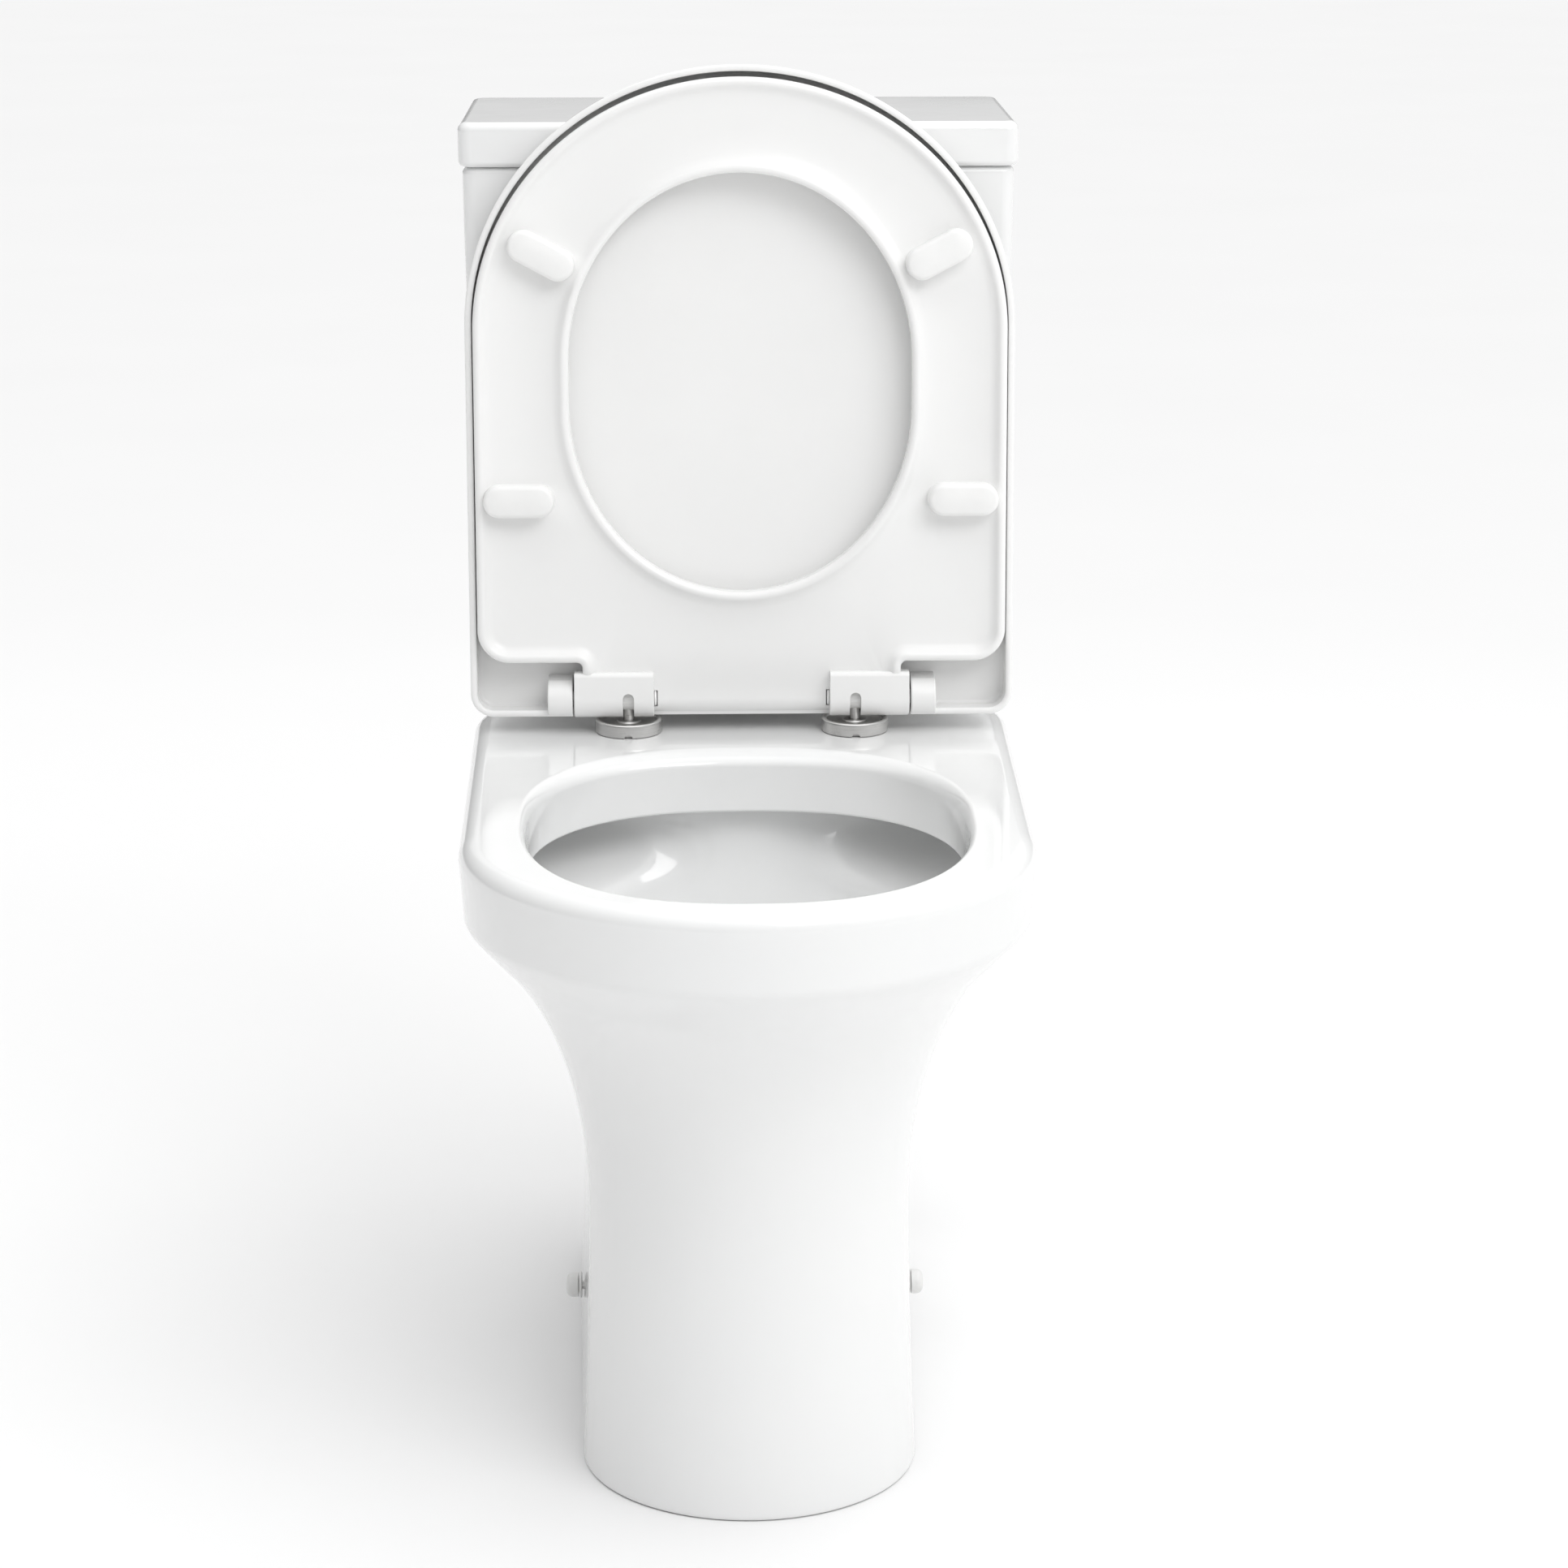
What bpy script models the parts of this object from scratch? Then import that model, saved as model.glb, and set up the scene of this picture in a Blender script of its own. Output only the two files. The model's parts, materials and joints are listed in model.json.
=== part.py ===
"""Close coupled toilet: a vitreous china pan and cistern, a soft close seat and lid, and the works inside.

Metres, +Z up. The floor is z = 0, +Y is the wall side and the toilet is mirrored about x = 0.
Seat and lid are stored raised, leaning back against their hinge stops.
"""

from math import cos, pi, radians, sin, sqrt

import bmesh
import bpy
from mathutils import Matrix, Vector

# Overall sizes
FRONT_Y = -0.332
BACK_Y = 0.332
RIM_TOP = 0.425
HINGE_Y = FRONT_Y + 0.420
GAP = 0.0003

# Pan, outside
RIM_HALF_WIDTH = 0.1802
RIM_FRONT_DEPTH = 0.170
RIM_ROUND = 0.012
RIM_SPREAD = 0.0175
APRON_BOTTOM = 0.366
APRON_DRAFT = 0.003
FLARE_BOTTOM = 0.178
FLARE_HEIGHT = 0.1993
FLARE_REACH = 1.515
CREASE_BLEND = 0.30
COLUMN_HALF_WIDTH = 0.1032
COLUMN_SPREAD = 0.0322
FOOT_FLARE = 0.0055
FOOT_FLARE_TOP = 0.165
FOOT_SETBACK = 0.0836
FOOT_FRONT_DEPTH = 0.1036
SHOULDER_Y = 0.130
WAIST_Y = 0.215
DECK_REAR_Y = 0.318
DECK_REAR_HALF_WIDTH = 0.118
COLUMN_REAR_Y = 0.220
COLUMN_REAR_HALF_WIDTH = 0.112
WALL = 0.012
DECK_THICKNESS = 0.014
DECK_CORNER = 0.030

# Pan, inside
OPENING_HALF_WIDTH = 0.1400
OPENING_FRONT_Y = HINGE_Y - 0.391
OPENING_REAR_Y = HINGE_Y - 0.061
OPENING_WIDEST_Y = HINGE_Y - 0.207
OPENING_ROUND = 0.005
OPENING_REAR_ROUND = 0.017
OPENING_DROP = 0.010
SQUARENESS = 0.833
LIP_BOTTOM = 0.384
LIP_THICKNESS = 0.009
CHANNEL_WIDTH = 0.010
CHANNEL_SWELL = 0.024
FRONT_SHARE = 0.75
CHANNEL_TOP = 0.408
BOWL_TOP = 0.378
SUMP_Z = 0.166
SUMP_HALF_WIDTH = 0.034
SUMP_FRONT_Y = -0.075
SUMP_REAR_Y = 0.005
SHELL = 0.011
TRAP_RADIUS = 0.027
OUTLET_Z = 0.180
OUTLET_RADIUS = 0.041
SPIGOT_RADIUS = 0.051
SPIGOT_END_Y = 0.322
FLUSH_Y = 0.240
FLUSH_HOLE_RADIUS = 0.030
GASKET_RECESS_RADIUS = 0.050
GASKET_RECESS_DEPTH = 0.008
DUCT_HALF_WIDTH = 0.022
DUCT_BOTTOM = 0.387
DUCT_TOP = 0.405

# Hinges
HINGE_X = 0.0775
HINGE_AXIS_Z = RIM_TOP + 0.0235
OPEN_ANGLE = radians(95.0)
POST_RADIUS = 0.0035
BARREL_RADIUS = 0.013
BLOCK_REACH = 0.0165
PLUG_RADIUS = 0.0055
BARREL_INNER_X = 0.060
BARREL_OUTER_X = 0.1145
CORE_RADIUS = 0.0083
KNUCKLE_INNER_X = 0.1155
KNUCKLE_OUTER_X = 0.1325
PIVOT_RADIUS = 0.005
DISC_RADIUS = 0.023
DISC_HEIGHT = 0.009

# Seat and lid, drawn closed with the hinge axis as their origin
SEAT_HALF_WIDTH = 0.1795
SEAT_TIP = 0.418
SEAT_FRONT_DEPTH = 0.168
SEAT_REAR = 0.026
SEAT_CORNER = 0.022
SEAT_TOP = 0.0129
SEAT_OPENING_HALF_WIDTH = 0.1155
SEAT_OPENING_FRONT = 0.355
SEAT_OPENING_REAR = 0.074
LID_HALF_WIDTH = 0.1850
LID_TIP = 0.426
LID_FRONT_DEPTH = 0.173
LID_REAR = 0.012
LID_CORNER = 0.016
LID_TOP = 0.0195
LID_INNER = 0.0135
LID_LIP = -0.0060
LID_WALL = 0.0045
BUFFER_LENGTH = 0.048
BUFFER_WIDTH = 0.022
BUFFER_BOTTOM = -0.0232
BUFFER_BED = -0.0050
BUFFER_REAR = (0.150, -0.137, 0.0)
BUFFER_FRONT = (0.133, -0.301, radians(-28))

# Cistern
CISTERN_BOTTOM = RIM_TOP + 0.006
CISTERN_LID_TOP = 0.8325
CISTERN_LID_HEIGHT = 0.030
CISTERN_LID_HALF_WIDTH = 0.1895
CISTERN_LID_FRONT_Y = 0.146
CISTERN_LID_CEILING = 0.8205
CISTERN_TOP = CISTERN_LID_TOP - CISTERN_LID_HEIGHT - GAP
CISTERN_TOP_HALF_WIDTH = 0.187
CISTERN_BOTTOM_HALF_WIDTH = 0.180
CISTERN_FRONT_Y = CISTERN_LID_FRONT_Y + 0.0035
CISTERN_CORNER = 0.009
RIB_BOTTOM = 0.7940
CISTERN_WALL = 0.009
CISTERN_FLOOR = 0.012
TOP_ROUND = 0.0045
COUPLING_X = 0.075
COUPLING_RADIUS = 0.004
INLET_X = -0.135
INLET_RADIUS = 0.0105

# Flush works
BUTTON_RADIUS = 0.0185
BUTTON_TRAVEL = 0.006
BEZEL_RADIUS = 0.031
BEZEL_TUBE_RADIUS = 0.0225
VALVE_RADIUS = 0.030
VALVE_TOP = 0.690
BACKNUT_RADIUS = 0.037
VALVE_HEAD_Z = 0.745
FLOAT_Z = 0.640
FLOAT_TRAVEL = 0.008
FLOAT_ROD_X = 0.0205
LEVER_PIVOT_X = -0.014
LEVER_PIVOT_Z = 0.757
LEVER_DROOP = FLOAT_TRAVEL / (FLOAT_ROD_X - LEVER_PIVOT_X)

# Floor fixings
FIXING_Y = HINGE_Y - 0.054
FIXING_Z = 0.0385
CAP_RADIUS = 0.0085
BOLT_RADIUS = 0.003

MATERIALS = {}


def material(name, colour, roughness, metallic=0.0):
    """The named Principled material, made once."""
    if name in MATERIALS:
        return MATERIALS[name]
    made = bpy.data.materials.new(name)
    made.use_nodes = True
    shader = made.node_tree.nodes["Principled BSDF"]
    shader.inputs["Base Color"].default_value = (*colour, 1)
    shader.inputs["Roughness"].default_value = roughness
    shader.inputs["Metallic"].default_value = metallic
    made.diffuse_color = (*colour, 1)
    MATERIALS[name] = made
    return made


def china():
    return material("china", (0.86, 0.87, 0.86), 0.08)


def seat_plastic():
    return material("seat_plastic", (0.90, 0.90, 0.89), 0.18)


def buffer_rubber():
    return material("buffer_rubber", (0.86, 0.86, 0.85), 0.45)


def steel():
    return material("steel", (0.62, 0.62, 0.61), 0.28, 1.0)


def chrome():
    return material("chrome", (0.80, 0.81, 0.82), 0.08, 1.0)


def white_plastic():
    return material("white_plastic", (0.85, 0.85, 0.84), 0.35)


def grey_plastic():
    return material("grey_plastic", (0.45, 0.47, 0.50), 0.40)


def black_rubber():
    return material("black_rubber", (0.03, 0.03, 0.03), 0.60)


def brass():
    return material("brass", (0.72, 0.55, 0.28), 0.30, 1.0)


def add_object(name, mesh, finish=None):
    """Puts a mesh in the scene as a named object with its finish."""
    made = bpy.data.objects.new(name, mesh)
    bpy.context.collection.objects.link(made)
    if finish:
        mesh.materials.append(finish)
    return made


def stack(name, rings, finish=None, smooth=True):
    """A closed solid through a stack of rings with equal point counts, flat at both ends."""
    work = bmesh.new()
    rows = [[work.verts.new(point) for point in ring] for ring in rings]
    count = len(rows[0])
    for lower, upper in zip(rows, rows[1:]):
        for i in range(count):
            j = (i + 1) % count
            work.faces.new((lower[i], lower[j], upper[j], upper[i]))
    work.faces.new(rows[0])
    work.faces.new(rows[-1])
    bmesh.ops.recalc_face_normals(work, faces=work.faces)
    for face in work.faces:
        face.smooth = smooth and len(face.verts) == 4
    mesh = bpy.data.meshes.new(name)
    work.to_mesh(mesh)
    work.free()
    return add_object(name, mesh, finish)


def flat_triangles(made):
    """Splits bent quads into flat triangles, which a Boolean cuts cleanly."""
    work = bmesh.new()
    work.from_mesh(made.data)
    bmesh.ops.triangulate(work, faces=[face for face in work.faces if len(face.verts) == 4])
    work.to_mesh(made.data)
    work.free()
    return made


def hoop(name, loops, finish=None):
    """A closed ring solid: each loop is one closed cross-section, and the loops run round the hole."""
    work = bmesh.new()
    rows = [[work.verts.new(point) for point in loop] for loop in loops]
    count = len(rows[0])
    for k, row in enumerate(rows):
        after = rows[(k + 1) % len(rows)]
        for i in range(count):
            j = (i + 1) % count
            work.faces.new((row[i], row[j], after[j], after[i]))
    bmesh.ops.recalc_face_normals(work, faces=work.faces)
    for face in work.faces:
        face.smooth = True
    mesh = bpy.data.meshes.new(name)
    work.to_mesh(mesh)
    work.free()
    return add_object(name, mesh, finish)


def turned(name, profile, centre, finish=None, axis="Z", segments=32):
    """A solid of revolution about an axis through centre, from (radius, height) pairs off the axis."""
    turn = {"Z": Matrix.Identity(3), "X": Matrix.Rotation(pi / 2, 3, "Y"), "Y": Matrix.Rotation(-pi / 2, 3, "X")}
    rings = []
    for radius, height in profile:
        ring = []
        for k in range(segments):
            angle = 2 * pi * k / segments
            ring.append(turn[axis] @ Vector((radius * cos(angle), radius * sin(angle), height)) + Vector(centre))
        rings.append(ring)
    return stack(name, rings, finish)


def pipe_ring(name, profile, centre, finish=None, segments=32):
    """A ring turned about +Z through centre from a closed (radius, height) profile."""
    loops = []
    for k in range(segments):
        angle = 2 * pi * k / segments
        loops.append([Vector((r * cos(angle), r * sin(angle), h)) + Vector(centre) for r, h in profile])
    return hoop(name, loops, finish)


def washer(name, inner, outer, low, high, centre, finish, segments=32):
    """A flat ring between two heights."""
    profile = [(inner, low), (outer, low), (outer, high), (inner, high)]
    made = pipe_ring(name, profile, centre, finish, segments)
    for face in made.data.polygons:
        face.use_smooth = False
    return made


def box(name, low, high, finish=None):
    """A block between two corners."""
    corners = [(low[0], low[1]), (high[0], low[1]), (high[0], high[1]), (low[0], high[1])]
    rings = [[(x, y, z) for x, y in corners] for z in (low[2], high[2])]
    return stack(name, rings, finish, smooth=False)


def extruded(name, outline, low, high, finish=None, smooth=False):
    """A (y, z) outline extruded along X."""
    return stack(name, [[(x, y, z) for y, z in outline] for x in (low, high)], finish, smooth)


def combine(target, tool, operation="DIFFERENCE"):
    """Adds a Boolean with a hidden tool object."""
    tool.hide_render = True
    tool.display_type = "WIRE"
    step = target.modifiers.new(tool.name, "BOOLEAN")
    step.operation = operation
    step.solver = "EXACT"
    step.object = tool
    return target


def bake(target):
    """Replaces the object's mesh by its evaluated one, and removes the tools that cut it."""
    tools = [step.object for step in target.modifiers]
    evaluated = target.evaluated_get(bpy.context.evaluated_depsgraph_get())
    mesh = bpy.data.meshes.new_from_object(evaluated)
    target.modifiers.clear()
    target.data = mesh
    for tool in tools:
        bpy.data.objects.remove(tool)
    return target


def ease(t):
    """Smooth step from 0 to 1, held outside that range."""
    t = min(max(t, 0.0), 1.0)
    return t * t * (3 - 2 * t)


def arc(centre, radius_x, radius_y, start, end, steps):
    """Points along an elliptical arc, both ends included; angles in degrees."""
    angles = [radians(start + (end - start) * k / steps) for k in range(steps + 1)]
    return [(centre[0] + radius_x * cos(a), centre[1] + radius_y * sin(a)) for a in angles]


# ---------------------------------------------------------------- pan


def flare(z):
    """How far the pan has opened from column (0) to rim (1): a quarter ellipse blended into the apron."""
    climb = min(max((z - FLARE_BOTTOM) / FLARE_HEIGHT, 0.0), 1.0)
    curve = FLARE_REACH * (1 - sqrt(1 - climb * climb))
    share = min(max(0.5 + 0.5 * (1 - curve) / CREASE_BLEND, 0.0), 1.0)
    return 1 + (curve - 1) * share - CREASE_BLEND * share * (1 - share)


def pan_outline(z, inset=0.0):
    """The pan's outer outline at a height, drawn in by an inset."""
    opened = flare(z)
    foot = FOOT_FLARE * max(0.0, 1 - z / FOOT_FLARE_TOP) ** 1.5
    draft = APRON_DRAFT * min(max((RIM_TOP - RIM_ROUND - z) / (RIM_TOP - RIM_ROUND - APRON_BOTTOM), 0), 1)
    half = COLUMN_HALF_WIDTH + foot + (RIM_HALF_WIDTH - draft - COLUMN_HALF_WIDTH) * opened - inset
    front = FRONT_Y + (FOOT_SETBACK - foot) * (1 - opened) + draft * opened + inset
    depth = FOOT_FRONT_DEPTH + (RIM_FRONT_DEPTH - FOOT_FRONT_DEPTH) * opened - inset
    rear = COLUMN_REAR_Y + (DECK_REAR_Y - COLUMN_REAR_Y) * opened - inset
    rear_half = COLUMN_REAR_HALF_WIDTH + (DECK_REAR_HALF_WIDTH - COLUMN_REAR_HALF_WIDTH) * opened - inset
    spread = COLUMN_SPREAD + (RIM_SPREAD - COLUMN_SPREAD) * opened
    corner = DECK_CORNER - min(inset, DECK_CORNER / 2)
    bend = front + depth
    side = []
    for k in range(1, 9):
        y = bend + (rear - corner - bend) * k / 9
        wide = half + spread * (y - bend)
        side.append((wide + (rear_half - wide) * ease((y - SHOULDER_Y) / (WAIST_Y - SHOULDER_Y)), y))
    last = (rear_half - corner, rear - corner)
    right = arc((0, bend), half, depth, -90, 0, 12) + side + arc(last, corner, corner, 0, 90, 3)
    left = [(-x, y) for x, y in reversed(right[1:])]
    return [(x, y, z) for x, y in right + left]


def pan_skin():
    """The whole outside of the pan as one solid."""
    heights = [0.0, 0.035, 0.085, 0.15]
    heights += [FLARE_BOTTOM + (APRON_BOTTOM - FLARE_BOTTOM) * (k / 10) ** 0.7 for k in range(11)]
    heights += [0.373, 0.382, RIM_TOP - RIM_ROUND]
    rings = [pan_outline(z) for z in heights]
    for k in range(1, 5):
        angle = pi / 2 * k / 4
        inset = RIM_ROUND * (1 - cos(angle))
        rings.append(pan_outline(RIM_TOP - RIM_ROUND + RIM_ROUND * sin(angle), inset))
    return stack("pan", rings, china())


def pan_hollow():
    """The space inside the outer wall, open at the floor."""
    heights = [-0.01, 0.0, 0.07, 0.15, 0.21, 0.25, 0.28, 0.31, 0.335, 0.36, 0.39]
    rings = [[(x, y, z) for x, y, _ in pan_outline(max(z, 0.0), WALL)] for z in heights]
    top = RIM_TOP - DECK_THICKNESS
    rings.append([(x, y, top) for x, y, _ in pan_outline(0.39, WALL)])
    return stack("hollow", rings)


def egg(half, front, rear, widest, z, swell=0.0, steps=20):
    """An egg outline from two squared half ellipses, whose rear corners may swell outward."""
    right = []
    for k in range(1, steps):
        angle = pi * k / steps - pi / 2
        reach = (rear - widest) if angle > 0 else (front - widest)
        bulge = swell * sin(2 * angle) ** 2 if angle > 0 else 0.0
        x = half * cos(angle) ** SQUARENESS + bulge * cos(angle)
        right.append((x, widest + reach * abs(sin(angle)) ** SQUARENESS + bulge * sin(angle)))
    left = [(-x, y) for x, y in reversed(right)]
    return [(x, y, z) for x, y in [(0, front)] + right + [(0, rear)] + left]


def opening_ring(grow, z, swell=0.0):
    """The bowl opening's outline, grown sideways by an amount."""
    front = OPENING_FRONT_Y - grow * FRONT_SHARE
    return egg(OPENING_HALF_WIDTH + grow, front, OPENING_REAR_Y + grow, OPENING_WIDEST_Y, z, swell)


def edge_ring(angle, lift=0.0):
    """One ring of the opening's rounded edge, which rolls wider at the rear."""
    share = 1 - cos(angle)
    grow = OPENING_ROUND * share
    rear = OPENING_REAR_Y + OPENING_REAR_ROUND * share
    z = RIM_TOP - OPENING_DROP * (1 - sin(angle)) + lift
    return egg(OPENING_HALF_WIDTH + grow, OPENING_FRONT_Y - grow, rear, OPENING_WIDEST_Y, z)


def bowl_ring(t, grow=0.0):
    """The bowl wall's outline, t = 0 at the sump and 1 at its top, grown by a wall."""
    out = LIP_THICKNESS + CHANNEL_WIDTH
    half = SUMP_HALF_WIDTH + (OPENING_HALF_WIDTH + out - SUMP_HALF_WIDTH) * t**1.3
    front = SUMP_FRONT_Y + (OPENING_FRONT_Y - out * FRONT_SHARE - SUMP_FRONT_Y) * t**0.95
    rear = SUMP_REAR_Y + (OPENING_REAR_Y + out - SUMP_REAR_Y) * t**0.6
    widest = (SUMP_FRONT_Y + SUMP_REAR_Y) / 2 * (1 - t) + OPENING_WIDEST_Y * t
    z = SUMP_Z + (BOWL_TOP - SUMP_Z) * t
    swell = CHANNEL_SWELL * ease((t - 0.78) / 0.2)
    return egg(half + grow, front - grow, rear + grow, widest, z, swell)


def bowl_cutter():
    """The bowl's inside, with the rim's flush channel folded up behind the hanging lip."""
    steps = [k / 8 for k in range(8)] + [0.94, 1.0]
    rings = [bowl_ring(t) for t in steps]
    out = LIP_THICKNESS + CHANNEL_WIDTH
    rings.append(opening_ring(out, CHANNEL_TOP, CHANNEL_SWELL))
    rings.append(opening_ring(LIP_THICKNESS, CHANNEL_TOP))
    rings.append(opening_ring(LIP_THICKNESS, LIP_BOTTOM))
    rings.append(opening_ring(0.0, LIP_BOTTOM))
    rings += [edge_ring(pi / 2 * k / 4) for k in range(5)]
    rings.append(edge_ring(pi / 2, lift=0.01))
    return flat_triangles(stack("bowl", rings))


def bowl_wall():
    """The ceramic round the bowl, a wall outside its inside."""
    rings = [[(x, y, z - SHELL) for x, y, z in bowl_ring(0.0, SHELL * 0.8)]]
    rings += [bowl_ring(k / 7, SHELL) for k in range(1, 8)]
    rings.append(opening_ring(LIP_THICKNESS + CHANNEL_WIDTH + SHELL, RIM_TOP + 0.02, CHANNEL_SWELL))
    return flat_triangles(stack("bowl_wall", rings))


def trap_path():
    """Centre line of the trap as (y, z, radius): down from the sump, over the weir and out to the back."""
    entry = (SUMP_FRONT_Y + SUMP_REAR_Y) / 2
    return [
        (entry, SUMP_Z + 0.020, TRAP_RADIUS),
        (entry + 0.012, SUMP_Z - 0.012, TRAP_RADIUS),
        (entry + 0.040, SUMP_Z - 0.034, TRAP_RADIUS),
        (entry + 0.072, SUMP_Z - 0.030, TRAP_RADIUS),
        (entry + 0.095, SUMP_Z - 0.004, TRAP_RADIUS),
        (entry + 0.112, SUMP_Z + 0.036, TRAP_RADIUS),
        (entry + 0.140, SUMP_Z + 0.066, TRAP_RADIUS),
        (entry + 0.174, SUMP_Z + 0.062, TRAP_RADIUS),
        (entry + 0.202, SUMP_Z + 0.036, TRAP_RADIUS),
        (entry + 0.230, OUTLET_Z + 0.006, TRAP_RADIUS + 0.005),
        (SPIGOT_END_Y - 0.050, OUTLET_Z, OUTLET_RADIUS),
        (SPIGOT_END_Y + 0.010, OUTLET_Z, OUTLET_RADIUS),
    ]


def tube(name, path, grow, segments=16):
    """A tube swept along (y, z, radius) points in the plane x = 0."""
    rings = []
    for k, (y, z, radius) in enumerate(path):
        before = path[max(k - 1, 0)]
        after = path[min(k + 1, len(path) - 1)]
        along = Vector((0, after[0] - before[0], after[1] - before[1])).normalized()
        across = Vector((1, 0, 0))
        up = along.cross(across)
        ring = []
        for i in range(segments):
            angle = 2 * pi * i / segments
            ring.append(Vector((0, y, z)) + (across * cos(angle) + up * sin(angle)) * (radius + grow))
        rings.append(ring)
    return stack(name, rings)


def make_pan():
    """The pan: outer skin, hollow under the bowl, bowl, trap, flush duct and the fixing holes."""
    pan = pan_skin()
    spigot = [(SPIGOT_RADIUS, COLUMN_REAR_Y - 0.05), (SPIGOT_RADIUS, SPIGOT_END_Y)]
    combine(pan, turned("spigot", spigot, (0, 0, OUTLET_Z), axis="Y"), "UNION")
    hollow = pan_hollow()
    rim_back = OPENING_REAR_Y + LIP_THICKNESS + CHANNEL_WIDTH + SHELL
    combine(hollow, box("rim_block", (-0.3, -0.4, 0.335), (0.3, rim_back, 0.5)))
    combine(hollow, bowl_wall())
    combine(hollow, tube("trap_wall", trap_path()[:-1], SHELL))
    duct_half = DUCT_HALF_WIDTH * 2
    combine(hollow, box("duct_wall", (-duct_half, 0.0, DUCT_BOTTOM - 0.012), (duct_half, 0.286, 0.5)))
    bake(hollow)
    combine(pan, hollow)
    combine(pan, bowl_cutter())
    combine(pan, tube("trap", trap_path(), 0.0))
    duct_low = (-DUCT_HALF_WIDTH, OPENING_REAR_Y + LIP_THICKNESS + 0.004, DUCT_BOTTOM)
    combine(pan, box("duct", duct_low, (DUCT_HALF_WIDTH, FLUSH_Y, DUCT_TOP)))
    well = [(FLUSH_HOLE_RADIUS, DUCT_BOTTOM), (FLUSH_HOLE_RADIUS, 0.5)]
    combine(pan, turned("well", well, (0, FLUSH_Y, 0)))
    recess = [(GASKET_RECESS_RADIUS, RIM_TOP - GASKET_RECESS_DEPTH), (GASKET_RECESS_RADIUS, 0.5)]
    combine(pan, turned("recess", recess, (0, FLUSH_Y, 0)))
    for side in (-1, 1):
        post_hole = [(0.006, 0.395), (0.006, 0.5)]
        combine(pan, turned("post_hole", post_hole, (side * HINGE_X, HINGE_Y, 0), segments=20))
        bolt_hole = [(0.0055, 0.395), (0.0055, 0.5)]
        combine(pan, turned("bolt_hole", bolt_hole, (side * COUPLING_X, FLUSH_Y, 0), segments=20))
        screw_hole = [(0.0040, 0.080), (0.0040, 0.130)]
        centre = (0, FIXING_Y, FIXING_Z)
        made = turned("screw_hole", [(r, side * h) for r, h in screw_hole], centre, axis="X", segments=16)
        combine(pan, made)
    return bake(pan)


# ---------------------------------------------------------------- cistern


def rounded_box_ring(half, front, back, corner, z, steps=6):
    """A rectangle with rounded corners, mirrored about x = 0."""
    right = arc((half - corner, front + corner), corner, corner, -90, 0, steps)
    right += arc((half - corner, back - corner), corner, corner, 0, 90, steps)
    left = [(-x, y) for x, y in reversed(right)]
    return [(x, y, z) for x, y in right + left]


def cistern_ring(z, inset=0.0):
    """The cistern's outline at a height, tapering a little to the bottom."""
    t = (z - CISTERN_BOTTOM) / (CISTERN_TOP - CISTERN_BOTTOM)
    half = CISTERN_BOTTOM_HALF_WIDTH + (CISTERN_TOP_HALF_WIDTH - CISTERN_BOTTOM_HALF_WIDTH) * ease(t) - inset
    front = CISTERN_FRONT_Y + 0.006 * (1 - ease(t)) + inset
    return rounded_box_ring(half, front, BACK_Y - inset, max(CISTERN_CORNER - inset * 0.4, 0.002), z)


def make_cistern():
    """The cistern's open box with its three floor holes."""
    round_over = 0.018
    rings = []
    for k in range(6):
        angle = pi / 2 * k / 5
        z = CISTERN_BOTTOM + round_over * (1 - cos(angle))
        rings.append(cistern_ring(z, round_over * (1 - sin(angle))))
    rings += [cistern_ring(CISTERN_BOTTOM + d) for d in (0.10, 0.20, 0.30)]
    for k in range(4):
        angle = pi / 2 * k / 3
        rings.append(cistern_ring(CISTERN_TOP - TOP_ROUND * (1 - sin(angle)), TOP_ROUND * (1 - cos(angle))))
    cistern = stack("cistern", rings, china())
    inside = [cistern_ring(CISTERN_BOTTOM + CISTERN_FLOOR + d, CISTERN_WALL + e) for d, e in
              ((0, 0.010), (0.003, 0.003), (0.010, 0), (0.10, 0), (0.20, 0), (0.30, 0))]
    inside.append([(x, y, CISTERN_TOP + 0.02) for x, y, _ in cistern_ring(CISTERN_TOP, CISTERN_WALL)])
    combine(cistern, stack("cistern_inside", inside))
    holes = [(0, FLUSH_Y, 0.0288), (INLET_X, FLUSH_Y, INLET_RADIUS + 0.0015)]
    holes += [(side * COUPLING_X, FLUSH_Y, 0.0055) for side in (-1, 1)]
    for x, y, radius in holes:
        combine(cistern, turned("floor_hole", [(radius, 0.40), (radius, 0.47)], (x, y, 0), segments=24))
    return bake(cistern)


def make_cistern_lid():
    """The cistern's china lid: a cap with a rib that drops inside the cistern and a hole for the button."""
    bottom = CISTERN_LID_TOP - CISTERN_LID_HEIGHT
    edge = 0.006
    half = CISTERN_LID_HALF_WIDTH
    front = CISTERN_LID_FRONT_Y

    def ring(z, inset):
        corner = max(CISTERN_CORNER - inset * 0.4, 0.002)
        return rounded_box_ring(half - inset, front + inset, BACK_Y - inset, corner, z)

    rings = [ring(CISTERN_LID_CEILING, 0.0170), ring(RIB_BOTTOM + 0.001, 0.0160), ring(RIB_BOTTOM, 0.0155)]
    rings += [ring(RIB_BOTTOM, 0.0142), ring(RIB_BOTTOM + 0.001, 0.0136), ring(bottom, 0.0136), ring(bottom, 0.004)]
    rings += [ring(bottom + 0.0012, 0.0012), ring(bottom + 0.004, 0.0)]
    for k in range(5):
        angle = pi / 2 * k / 4
        rings.append(ring(CISTERN_LID_TOP - edge + edge * sin(angle), edge * (1 - cos(angle))))
    lid = stack("cistern_lid", rings, china())
    hole = [(BEZEL_TUBE_RADIUS + 0.001, 0.79), (BEZEL_TUBE_RADIUS + 0.001, 0.86)]
    combine(lid, turned("button_hole", hole, (0, FLUSH_Y, 0)))
    return bake(lid)


# ---------------------------------------------------------------- hinges


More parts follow.
